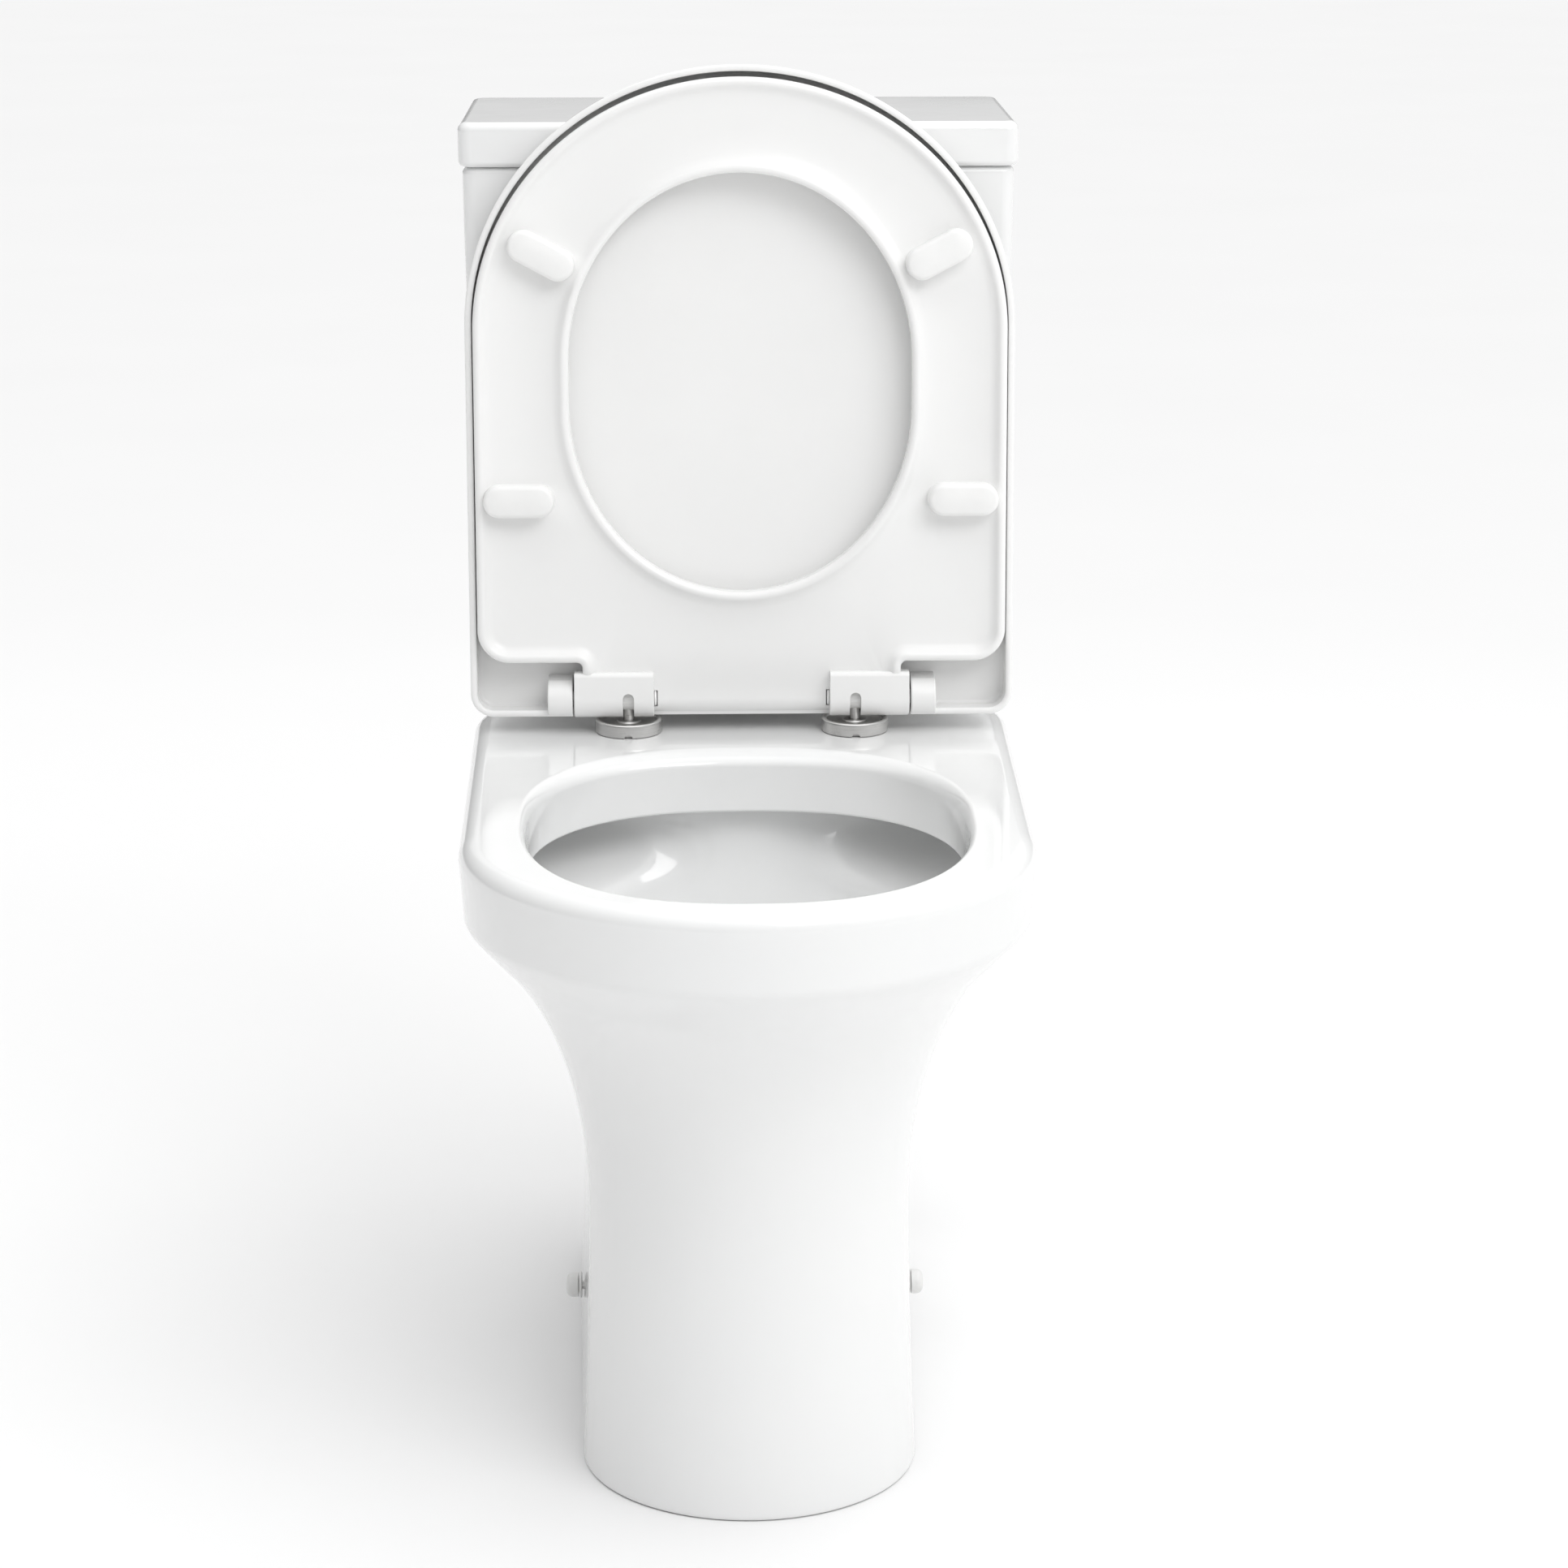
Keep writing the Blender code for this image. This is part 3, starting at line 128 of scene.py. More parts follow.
# Hinges
HINGE_X = 0.0775
POST_RADIUS = 0.0035
BARREL_RADIUS = 0.013
BLOCK_REACH = 0.0188
BLOCK_ROUND = 0.0035
PLUG_RADIUS = 0.0055
BARREL_INNER_X = 0.060
BARREL_OUTER_X = 0.1145
CORE_RADIUS = 0.0083
KNUCKLE_INNER_X = 0.1155
KNUCKLE_OUTER_X = 0.1325
PIVOT_RADIUS = 0.005
DISC_RADIUS = 0.023
DISC_HEIGHT = 0.009
SLOT_HALF_WIDTH = 0.0038
SLOT_TOP = 0.0052
SEAT_PLUG_HOLE = 0.0042

# Seat and lid, drawn closed with the hinge axis as their origin
SEAT_HALF_WIDTH = 0.1795
SEAT_TIP = 0.418
SEAT_FRONT_DEPTH = 0.168
SEAT_REAR = 0.026
SEAT_CORNER = 0.022
SEAT_OPENING_HALF_WIDTH = 0.1155
SEAT_OPENING_FRONT = 0.355
SEAT_OPENING_REAR = 0.074
SEAT_OPENING_FRONT_DEPTH = 0.125
SEAT_OPENING_REAR_DEPTH = 0.126
TONGUE_HALF_WIDTH = 0.1085
TONGUE_FILLET = 0.004
TONGUE_REAR = 0.0
TONGUE_CORNER = 0.0125
TONGUE_THINNING = 0.0041
LID_HALF_WIDTH = 0.1850
LID_TIP = 0.426
LID_FRONT_DEPTH = 0.173
LID_REAR = 0.012
LID_CORNER = 0.016
LID_TOP = 0.0195
LID_INNER = 0.0135
LID_LIP = -0.0060
LID_WALL = 0.0045
BUFFER_LENGTH = 0.048
BUFFER_WIDTH = 0.022
BUFFER_BOTTOM = -0.0232
BUFFER_BED = -0.0050
BUFFER_REAR = (0.150, -0.137, 0.0)
BUFFER_FRONT = (0.133, -0.301, radians(-28))

# Cistern
CISTERN_BOTTOM = RIM_TOP + 0.006
CISTERN_LID_TOP = 0.8325
CISTERN_LID_HEIGHT = 0.030
CISTERN_LID_HALF_WIDTH = 0.1895
CISTERN_LID_FRONT_Y = 0.146
CISTERN_LID_CEILING = 0.8205
CISTERN_TOP = CISTERN_LID_TOP - CISTERN_LID_HEIGHT - GAP
CISTERN_TOP_HALF_WIDTH = 0.187
CISTERN_BOTTOM_HALF_WIDTH = 0.180
CISTERN_FRONT_Y = CISTERN_LID_FRONT_Y + 0.0035
CISTERN_FRONT_TAPER = 0.006
CISTERN_CORNER = 0.009
CISTERN_WALL = 0.009
CISTERN_FLOOR = 0.012
RIB_BOTTOM = 0.7940
TOP_ROUND = 0.0045
COUPLING_X = 0.075
INLET_X = -0.135
INLET_RADIUS = 0.0105

# Flush button
BUTTON_RADIUS = 0.0185
BUTTON_SPLIT = 0.0045
BEZEL_RADIUS = 0.031
BEZEL_TUBE_RADIUS = 0.0225

# Floor fixings
FIXING_Y = HINGE_Y - 0.054
FIXING_Z = 0.0385
CAP_RADIUS = 0.0085
BOLT_RADIUS = 0.003

# Camera and studio; a light is its place, its target, width, height and power in watts
CAMERA_PLACE = (-0.0363, -2.4024, 1.0871)
CAMERA_TURN = (radians(74.29), 0.0, radians(-1.5))
CAMERA_LENS = 86.11
SENSOR = 36.0
FLOOR_REACH = 30.0
FLOOR_Z = -0.0005
KEY_LIGHT = ((1.1, -1.6, 2.2), (0, 0.05, 0.65), 1.8, 1.0, 19)
BACK_LIGHT = ((0.2, 1.5, 1.5), (0, 0.25, 0.83), 2.4, 1.2, 2.5)
TENT_BASE = 0.30
TENT_RIGHT = 0.28
TENT_TOP = 1.52


# ---------------------------------------------------------------- materials


def shader_of(name):
    """A new node material, its nodes, links and Principled shader."""
    made = bpy.data.materials.new(name)
    made.use_nodes = True
    nodes = made.node_tree.nodes
    return made, nodes, made.node_tree.links, nodes["Principled BSDF"]


def noise(nodes, links, scale, detail=3.0, stretch=(1, 1, 1)):
    """A noise texture in object space, stretched along the axes."""
    coordinates = nodes.new("ShaderNodeTexCoord")
    mapping = nodes.new("ShaderNodeMapping")
    mapping.inputs["Scale"].default_value = stretch
    texture = nodes.new("ShaderNodeTexNoise")
    texture.inputs["Scale"].default_value = scale
    texture.inputs["Detail"].default_value = detail
    links.new(coordinates.outputs["Object"], mapping.inputs["Vector"])
    links.new(mapping.outputs["Vector"], texture.inputs["Vector"])
    return texture.outputs["Fac"]


def roughened(nodes, links, shader, value, low, high):
    """A roughness that drifts between two values with a texture."""
    mapped = nodes.new("ShaderNodeMapRange")
    mapped.inputs["From Min"].default_value = 0.3
    mapped.inputs["From Max"].default_value = 0.7
    mapped.inputs["To Min"].default_value = low
    mapped.inputs["To Max"].default_value = high
    links.new(value, mapped.inputs["Value"])
    links.new(mapped.outputs["Result"], shader.inputs["Roughness"])


def mottled(nodes, links, shader, value, first, second):
    """A base colour that drifts between two near tones with a texture."""
    ramp = nodes.new("ShaderNodeValToRGB")
    ramp.color_ramp.elements[0].position = 0.3
    ramp.color_ramp.elements[1].position = 0.7
    ramp.color_ramp.elements[0].color = (*first, 1)
    ramp.color_ramp.elements[1].color = (*second, 1)
    links.new(value, ramp.inputs["Fac"])
    links.new(ramp.outputs["Color"], shader.inputs["Base Color"])


def bump(nodes, links, shader, value, height, strength=1.0):
    """Raises the surface by a texture, height in metres."""
    raised = nodes.new("ShaderNodeBump")
    raised.inputs["Strength"].default_value = strength
    raised.inputs["Distance"].default_value = height
    links.new(value, raised.inputs["Height"])
    links.new(raised.outputs["Normal"], shader.inputs["Normal"])


def glaze():
    """Vitreous china: white body under a clear, very slightly wavy glaze."""
    made, nodes, links, shader = shader_of("china_glaze")
    mottled(nodes, links, shader, noise(nodes, links, 6.0), (0.845, 0.850, 0.850), (0.865, 0.868, 0.865))
    roughened(nodes, links, shader, noise(nodes, links, 14.0), 0.10, 0.16)
    shader.inputs["IOR"].default_value = 1.50
    shader.inputs["Coat Weight"].default_value = 0.6
    shader.inputs["Coat Roughness"].default_value = 0.04
    shader.inputs["Coat IOR"].default_value = 1.5
    bump(nodes, links, shader, noise(nodes, links, 45.0, 2.0), 0.00006)
    return made


def seat_plastic():
    """Moulded white thermoset of the seat and lid: glossy with a faint flow texture."""
    made, nodes, links, shader = shader_of("seat_gloss")
    mottled(nodes, links, shader, noise(nodes, links, 9.0), (0.885, 0.885, 0.880), (0.905, 0.905, 0.900))
    roughened(nodes, links, shader, noise(nodes, links, 22.0), 0.20, 0.27)
    shader.inputs["IOR"].default_value = 1.48
    bump(nodes, links, shader, noise(nodes, links, 160.0, 2.0), 0.00003)
    return made


def buffer_rubber():
    """Soft white elastomer with a fine satin grain."""
    made, nodes, links, shader = shader_of("buffer_soft")
    mottled(nodes, links, shader, noise(nodes, links, 60.0), (0.875, 0.875, 0.868), (0.900, 0.900, 0.893))
    roughened(nodes, links, shader, noise(nodes, links, 300.0), 0.34, 0.46)
    shader.inputs["Subsurface Weight"].default_value = 0.08
    shader.inputs["Subsurface Radius"].default_value = (0.002, 0.002, 0.002)
    bump(nodes, links, shader, noise(nodes, links, 900.0, 3.0), 0.00003)
    return made


def satin_steel():
    """Stainless steel with fine turning lines round its axis."""
    made, nodes, links, shader = shader_of("satin_steel")
    lines = noise(nodes, links, 2400.0, 2.0, (0.02, 0.02, 1.0))
    mottled(nodes, links, shader, lines, (0.62, 0.615, 0.605), (0.68, 0.675, 0.665))
    roughened(nodes, links, shader, lines, 0.27, 0.36)
    shader.inputs["Metallic"].default_value = 1.0
    bump(nodes, links, shader, lines, 0.000004)
    return made


def chrome_plate():
    """Polished chrome plate with the faintest unevenness."""
    made, nodes, links, shader = shader_of("chrome_plate")
    mottled(nodes, links, shader, noise(nodes, links, 30.0), (0.78, 0.79, 0.80), (0.84, 0.85, 0.86))
    roughened(nodes, links, shader, noise(nodes, links, 80.0), 0.05, 0.11)
    shader.inputs["Metallic"].default_value = 1.0
    bump(nodes, links, shader, noise(nodes, links, 500.0, 2.0), 0.000004)
    return made


def moulded(name, first, second, rough):
    """Injection moulded plastic with a fine spark eroded grain."""
    made, nodes, links, shader = shader_of(name)
    mottled(nodes, links, shader, noise(nodes, links, 50.0), first, second)
    grain = noise(nodes, links, 1400.0, 3.0)
    roughened(nodes, links, shader, grain, rough - 0.05, rough + 0.06)
    bump(nodes, links, shader, grain, 0.00004)
    return made


def black_rubber():
    """Dull black rubber with a dusty bloom."""
    made, nodes, links, shader = shader_of("seal_rubber")
    bloom = noise(nodes, links, 90.0, 5.0)
    mottled(nodes, links, shader, bloom, (0.018, 0.018, 0.018), (0.045, 0.044, 0.043))
    roughened(nodes, links, shader, noise(nodes, links, 400.0), 0.55, 0.75)
    bump(nodes, links, shader, noise(nodes, links, 900.0, 3.0), 0.00006)
    return made


def plain_brass():
    """Turned brass, slightly dulled."""
    made, nodes, links, shader = shader_of("dull_brass")
    mottled(nodes, links, shader, noise(nodes, links, 120.0, 5.0), (0.60, 0.44, 0.20), (0.76, 0.58, 0.30))
    roughened(nodes, links, shader, noise(nodes, links, 260.0), 0.24, 0.42)
    shader.inputs["Metallic"].default_value = 1.0
    bump(nodes, links, shader, noise(nodes, links, 900.0, 3.0, (0.1, 0.1, 1.0)), 0.00002)
    return made


def studio_floor():
    """Matt white studio floor."""
    made, nodes, links, shader = shader_of("studio_floor")
    mottled(nodes, links, shader, noise(nodes, links, 2.0), (0.875, 0.875, 0.875), (0.885, 0.885, 0.885))
    shader.inputs["Roughness"].default_value = 0.9
    shader.inputs["Specular IOR Level"].default_value = 0.1
    return made


# ---------------------------------------------------------------- mesh helpers


def as_object(name, work):
    """Turns a bmesh into a scene object with outward faces, all smooth."""
    bmesh.ops.recalc_face_normals(work, faces=work.faces)
    for face in work.faces:
        face.smooth = True
    mesh = bpy.data.meshes.new(name)
    work.to_mesh(mesh)
    work.free()
    made = bpy.data.objects.new(name, mesh)
    bpy.context.scene.collection.objects.link(made)
    return made


def stack(name, rings):
    """A closed solid through a stack of rings with equal point counts, flat at both ends."""
    work = bmesh.new()
    rows = [[work.verts.new(point) for point in ring] for ring in rings]
    count = len(rows[0])
    for lower, upper in zip(rows, rows[1:]):
        for i in range(count):
            j = (i + 1) % count
            work.faces.new((lower[i], lower[j], upper[j], upper[i]))
    work.faces.new(rows[0])
    work.faces.new(rows[-1])
    return as_object(name, work)


def hoop(name, loops):
    """A closed ring solid: each loop is one closed cross-section, and the loops run round the hole."""
    work = bmesh.new()
    rows = [[work.verts.new(point) for point in loop] for loop in loops]
    count = len(rows[0])
    for k, row in enumerate(rows):
        after = rows[(k + 1) % len(rows)]
        for i in range(count):
            j = (i + 1) % count
            work.faces.new((row[i], row[j], after[j], after[i]))
    return as_object(name, work)


AXIS_TURN = {
    "Z": Matrix.Identity(3),
    "X": Matrix.Rotation(pi / 2, 3, "Y"),
    "Y": Matrix.Rotation(-pi / 2, 3, "X"),
}


def turned(name, profile, centre, axis="Z", segments=64):
    """A solid of revolution about an axis through centre, from (radius, height) pairs off the axis."""
    rings = []
    for radius, height in profile:
        ring = []
        for k in range(segments):
            angle = 2 * pi * k / segments
            spot = Vector((radius * cos(angle), radius * sin(angle), height))
            ring.append(AXIS_TURN[axis] @ spot + Vector(centre))
        rings.append(ring)
    return stack(name, rings)


def pipe_ring(name, profile, centre, axis="Z", segments=64):
    """A ring turned about an axis through centre from a closed (radius, height) profile."""
    loops = []
    for k in range(segments):
        angle = 2 * pi * k / segments
        loop = [Vector((r * cos(angle), r * sin(angle), h)) for r, h in profile]
        loops.append([AXIS_TURN[axis] @ spot + Vector(centre) for spot in loop])
    return hoop(name, loops)


def box(name, low, high):
    """A block between two corners."""
    corners = [(low[0], low[1]), (high[0], low[1]), (high[0], high[1]), (low[0], high[1])]
    return stack(name, [[(x, y, z) for x, y in corners] for z in (low[2], high[2])])


def extruded(name, outline, low, high):
    """A (y, z) outline extruded along X."""
    return stack(name, [[(x, y, z) for y, z in outline] for x in (low, high)])


def combine(target, tool, operation="DIFFERENCE"):
    """Has a tool object cut the target, or join it, once the target is baked."""
    step = target.modifiers.new(tool.name, "BOOLEAN")
    step.operation = operation
    step.solver = "EXACT"
    step.object = tool
    return target


def bake(target):
    """Replaces the object's mesh by its evaluated one, and removes the tools that cut it."""
    tools = [step.object for step in target.modifiers if step.type == "BOOLEAN"]
    evaluated = target.evaluated_get(bpy.context.evaluated_depsgraph_get())
    mesh = bpy.data.meshes.new_from_object(evaluated)
    target.modifiers.clear()
    target.data = mesh
    for tool in tools:
        bpy.data.objects.remove(tool)
    return target


def crisp(target, angle=32.0):
    """Smooth faces with creases above an angle, and normals that favour the large faces."""
    for face in target.data.polygons:
        face.use_smooth = True
    target.data.set_sharp_from_angle(angle=radians(angle))
    step = target.modifiers.new("even_normals", "WEIGHTED_NORMAL")
    step.keep_sharp = True
    step.weight = 100
    return bake(target)


def finish(target, coat, body, slot, *nodes):
    """Gives a piece its material and body, and hides the CAD nodes it stands for."""
    target.data.materials.clear()
    target.data.materials.append(coat)
    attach(target, body)
    if nodes:
        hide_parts(*nodes)
    return target


def ease(t):
    """Smooth step from 0 to 1, held outside that range."""
    t = min(max(t, 0.0), 1.0)
    return t * t * (3 - 2 * t)


def arc(centre, radius_x, radius_y, start, end, steps):
    """Points along an elliptical arc, both ends included; angles in degrees."""
    angles = [radians(start + (end - start) * k / steps) for k in range(steps + 1)]
    return [(centre[0] + radius_x * cos(a), centre[1] + radius_y * sin(a)) for a in angles]


def quarter(steps, first=1):
    """Angles that share out a quarter turn, from the first step to the last."""
    return [pi / 2 * k / steps for k in range(first, steps + 1)]


def beside(side, profile):
    """A (radius, height) profile on one side: -1 turns its heights over."""
    return [(radius, side * height) for radius, height in profile]


def mirrored(right, z):
    """A closed ring from its right half, whose ends lie on or beside x = 0."""
    left = [(-x, y) for x, y in reversed(right) if x > 1e-6]
    return [(x, y, z) for x, y in right + left]


# ---------------------------------------------------------------- pan


def flare(z):
    """How far the pan has opened from column (0) to rim (1): a quarter ellipse blended into the apron."""
    climb = min(max((z - FLARE_BOTTOM) / FLARE_HEIGHT, 0.0), 1.0)
    curve = FLARE_REACH * (1 - sqrt(1 - climb * climb))
    share = min(max(0.5 + 0.5 * (1 - curve) / CREASE_BLEND, 0.0), 1.0)
    return 1 + (curve - 1) * share - CREASE_BLEND * share * (1 - share)


def pan_outline(z, inset=0.0, fine=1):
    """The pan's outer outline at a height, drawn in by an inset."""
    opened = flare(z)
    foot = FOOT_FLARE * max(0.0, 1 - z / FOOT_FLARE_TOP) ** 1.5
    fall = (RIM_TOP - RIM_ROUND - z) / (RIM_TOP - RIM_ROUND - APRON_BOTTOM)
    draft = APRON_DRAFT * min(max(fall, 0), 1)
    half = COLUMN_HALF_WIDTH + foot + (RIM_HALF_WIDTH - draft - COLUMN_HALF_WIDTH) * opened - inset
    front = FRONT_Y + (FOOT_SETBACK - foot) * (1 - opened) + draft * opened + inset
    depth = FOOT_FRONT_DEPTH + (RIM_FRONT_DEPTH - FOOT_FRONT_DEPTH) * opened - inset
    rear = COLUMN_REAR_Y + (DECK_REAR_Y - COLUMN_REAR_Y) * opened - inset
    rear_half = COLUMN_REAR_HALF_WIDTH + (DECK_REAR_HALF_WIDTH - COLUMN_REAR_HALF_WIDTH) * opened - inset
    spread = COLUMN_SPREAD + (RIM_SPREAD - COLUMN_SPREAD) * opened
    corner = DECK_CORNER - min(inset, DECK_CORNER / 2)
    bend = front + depth
    side = []
    runs = 14 * fine
    for k in range(1, runs):
        y = bend + (rear - corner - bend) * k / runs
        wide = half + spread * (y - bend)
        side.append((wide + (rear_half - wide) * ease((y - SHOULDER_Y) / (WAIST_Y - SHOULDER_Y)), y))
    last = (rear_half - corner, rear - corner)
    right = arc((0, bend), half, depth, -90, 0, 20 * fine) + side + arc(last, corner, corner, 0, 90, 3 * fine)
    return mirrored(right, z)


def pan_skin():
    """The whole outside of the pan as one solid."""
    fine = 3
    heights = [0.0, 0.0008, 0.002]
    heights += [0.004 + (FLARE_BOTTOM - 0.004) * k / 16 for k in range(16)]
    heights += [FLARE_BOTTOM + (APRON_BOTTOM - FLARE_BOTTOM) * (k / 44) ** 0.8 for k in range(45)]
    heights += [0.369, 0.372, 0.375, 0.378, 0.382, 0.387, 0.393, 0.400, 0.407, RIM_TOP - RIM_ROUND]
    insets = {0.0: 0.0016, 0.0008: 0.0005}
    rings = [pan_outline(z, insets.get(z, 0.0), fine) for z in heights]
    for angle in quarter(12):
        inset = RIM_ROUND * (1 - cos(angle))
        rings.append(pan_outline(RIM_TOP - RIM_ROUND + RIM_ROUND * sin(angle), inset, fine))
    return stack("pan_body", rings)


def pan_hollow():
    """The space inside the outer wall, open at the floor."""
    heights = [-0.01, 0.0, 0.07, 0.15, 0.21, 0.25, 0.28, 0.31, 0.335, 0.36, 0.39]
    rings = [[(x, y, z) for x, y, _ in pan_outline(max(z, 0.0), WALL)] for z in heights]
    top = RIM_TOP - DECK_THICKNESS
    rings.append([(x, y, top) for x, y, _ in pan_outline(0.39, WALL)])
    return stack("hollow", rings)


def egg(half, front, rear, widest, z, swell=0.0, steps=120):
    """An egg outline from two squared half ellipses, whose rear corners may swell outward."""
    right = [(0, front)]
    for k in range(1, steps):
        angle = pi * k / steps - pi / 2
        reach = (rear - widest) if angle > 0 else (front - widest)
        bulge = swell * sin(2 * angle) ** 2 if angle > 0 else 0.0
        x = half * cos(angle) ** SQUARENESS + bulge * cos(angle)
        right.append((x, widest + reach * abs(sin(angle)) ** SQUARENESS + bulge * sin(angle)))
    return mirrored(right + [(0, rear)], z)


def opening_ring(grow, z, swell=0.0, steps=120):
    """The bowl opening's outline, grown sideways by an amount."""
    front = OPENING_FRONT_Y - grow * FRONT_SHARE
    return egg(OPENING_HALF_WIDTH + grow, front, OPENING_REAR_Y + grow, OPENING_WIDEST_Y, z, swell, steps)


def edge_ring(angle, lift=0.0):
    """One ring of the opening's rounded edge, which rolls wider at the rear."""
    share = 1 - cos(angle)
    grow = OPENING_ROUND * share
    rear = OPENING_REAR_Y + OPENING_REAR_ROUND * share
    z = RIM_TOP - OPENING_DROP * (1 - sin(angle)) + lift
    return egg(OPENING_HALF_WIDTH + grow, OPENING_FRONT_Y - grow, rear, OPENING_WIDEST_Y, z)


def bowl_ring(t, grow=0.0, steps=120):
    """The bowl wall's outline, t = 0 at the sump and 1 at its top, grown by a wall."""
    out = LIP_THICKNESS + CHANNEL_WIDTH
    half = SUMP_HALF_WIDTH + (OPENING_HALF_WIDTH + out - SUMP_HALF_WIDTH) * t**1.3
    front = SUMP_FRONT_Y + (OPENING_FRONT_Y - out * FRONT_SHARE - SUMP_FRONT_Y) * t**0.95
    rear = SUMP_REAR_Y + (OPENING_REAR_Y + out - SUMP_REAR_Y) * t**0.6
    widest = (SUMP_FRONT_Y + SUMP_REAR_Y) / 2 * (1 - t) + OPENING_WIDEST_Y * t
    z = SUMP_Z + (BOWL_TOP - SUMP_Z) * t
    swell = CHANNEL_SWELL * ease((t - 0.78) / 0.2)
    return egg(half + grow, front - grow, rear + grow, widest, z, swell, steps)


def bowl_cutter():
    """The bowl's inside, with the rim's flush channel folded up behind the hanging lip."""
    rings = [bowl_ring((k / 48) ** 0.9) for k in range(49)]
    out = LIP_THICKNESS + CHANNEL_WIDTH
    channel_round = 0.005
    rings += [opening_ring(out, z, CHANNEL_SWELL) for z in (0.386, 0.394, CHANNEL_TOP - channel_round)]
    for angle in quarter(5):
        z = CHANNEL_TOP - channel_round * (1 - sin(angle))
        rings.append(opening_ring(out - channel_round * (1 - cos(angle)), z, CHANNEL_SWELL))
    rings.append(opening_ring(LIP_THICKNESS, CHANNEL_TOP))
    edge = 0.0022
    rings.append(opening_ring(LIP_THICKNESS, LIP_BOTTOM + edge))
    for angle in quarter(5):
        back = LIP_THICKNESS - edge * (1 - cos(angle))
        rings.append(opening_ring(back, LIP_BOTTOM + edge * (1 - sin(angle))))
    for angle in quarter(4, 0):
        rings.append(opening_ring(edge * (1 - sin(angle)), LIP_BOTTOM + edge * (1 - cos(angle))))
    rings += [edge_ring(angle) for angle in quarter(12, 0)]
    rings.append(edge_ring(pi / 2, lift=0.01))
    return stack("bowl", rings)


def bowl_wall():
    """The china round the bowl, a wall outside its inside."""
    steps = 40
    rings = [[(x, y, z - SHELL) for x, y, z in bowl_ring(0.0, SHELL * 0.8, steps)]]
    rings += [bowl_ring(k / 10, SHELL, steps) for k in range(1, 11)]
    rings.append(opening_ring(LIP_THICKNESS + CHANNEL_WIDTH + SHELL, RIM_TOP + 0.02, CHANNEL_SWELL, steps))
    return stack("bowl_wall", rings)


def trap_path():
    """Centre line of the trap as (y, z, radius): down from the sump, over the weir and out to the back."""
    entry = (SUMP_FRONT_Y + SUMP_REAR_Y) / 2
    bends = (
        (0, 0.020), (0.012, -0.012), (0.040, -0.034), (0.072, -0.030), (0.095, -0.004), (0.112, 0.036),
        (0.140, 0.066), (0.174, 0.062), (0.202, 0.036),
    )
    path = [(entry + dy, SUMP_Z + dz, TRAP_RADIUS) for dy, dz in bends]
    path.append((entry + 0.230, OUTLET_Z + 0.006, TRAP_RADIUS + 0.005))
    return path + [(SPIGOT_END_Y + dy, OUTLET_Z, OUTLET_RADIUS) for dy in (-0.050, 0.010)]


def tube(name, path, grow, segments=40):
    """A tube swept along (y, z, radius) points in the plane x = 0."""
    rings = []
    for k, (y, z, radius) in enumerate(path):
        before = path[max(k - 1, 0)]
        after = path[min(k + 1, len(path) - 1)]
        along = Vector((0, after[0] - before[0], after[1] - before[1])).normalized()
        across = Vector((1, 0, 0))
        up = along.cross(across)
        ring = []
        for i in range(segments):
            angle = 2 * pi * i / segments
            ring.append(Vector((0, y, z)) + (across * cos(angle) + up * sin(angle)) * (radius + grow))
        rings.append(ring)
    return stack(name, rings)


def make_pan(coat):
    """The pan: outer skin, hollow under the bowl, bowl, trap, outlet, flush duct and the fixing holes."""
    pan = pan_skin()
    spigot = [(SPIGOT_RADIUS, COLUMN_REAR_Y - 0.05), (SPIGOT_RADIUS, SPIGOT_END_Y - 0.002)]
    spigot.append((SPIGOT_RADIUS - 0.002, SPIGOT_END_Y))
    combine(pan, turned("spigot", spigot, (0, 0, OUTLET_Z), "Y"), "UNION")
    hollow = pan_hollow()
    rim_back = OPENING_REAR_Y + LIP_THICKNESS + CHANNEL_WIDTH + SHELL
    combine(hollow, box("rim_block", (-0.3, -0.4, 0.335), (0.3, rim_back, ABOVE_PAN)))
    combine(hollow, bowl_wall())
    combine(hollow, tube("trap_wall", trap_path()[:-1], SHELL))
    duct_side = FLUSH_HOLE_RADIUS + 0.014
    duct_wall = ((-duct_side, 0.0, DUCT_BOTTOM - DUCT_WALL), (duct_side, FLUSH_Y + 0.046, ABOVE_PAN))
    combine(hollow, box("duct_wall", *duct_wall))
    bake(hollow)
    combine(pan, hollow)
    combine(pan, bowl_cutter())
    combine(pan, tube("trap", trap_path(), 0.0))
    duct_low = (-DUCT_HALF_WIDTH, OPENING_REAR_Y + LIP_THICKNESS + 0.004, DUCT_BOTTOM)
    combine(pan, box("duct", duct_low, (DUCT_HALF_WIDTH, FLUSH_Y, DUCT_TOP)))
    wells = ((FLUSH_HOLE_RADIUS, DUCT_BOTTOM), (GASKET_RECESS_RADIUS, RIM_TOP - GASKET_RECESS_DEPTH))
    for radius, low in wells:
        combine(pan, turned("well", [(radius, low), (radius, ABOVE_PAN)], (0, FLUSH_Y, 0)))
    for side in (-1, 1):
        holes = ((HINGE_X, HINGE_Y, 0.006), (COUPLING_X, FLUSH_Y, 0.0055))
        for x, y, radius in holes:
            hole = [(radius, RIM_TOP - 0.030), (radius, ABOVE_PAN)]
            combine(pan, turned("hole", hole, (side * x, y, 0), segments=32))
        screw_hole = beside(side, [(BOLT_RADIUS + 0.001, 0.080), (BOLT_RADIUS + 0.001, 0.130)])
        combine(pan, turned("screw_hole", screw_hole, (0, FIXING_Y, FIXING_Z), "X", 24))
    bake(pan)
    crisp(pan, 34)
    return finish(pan, coat, "base", "china", "pan")


# ---------------------------------------------------------------- cistern


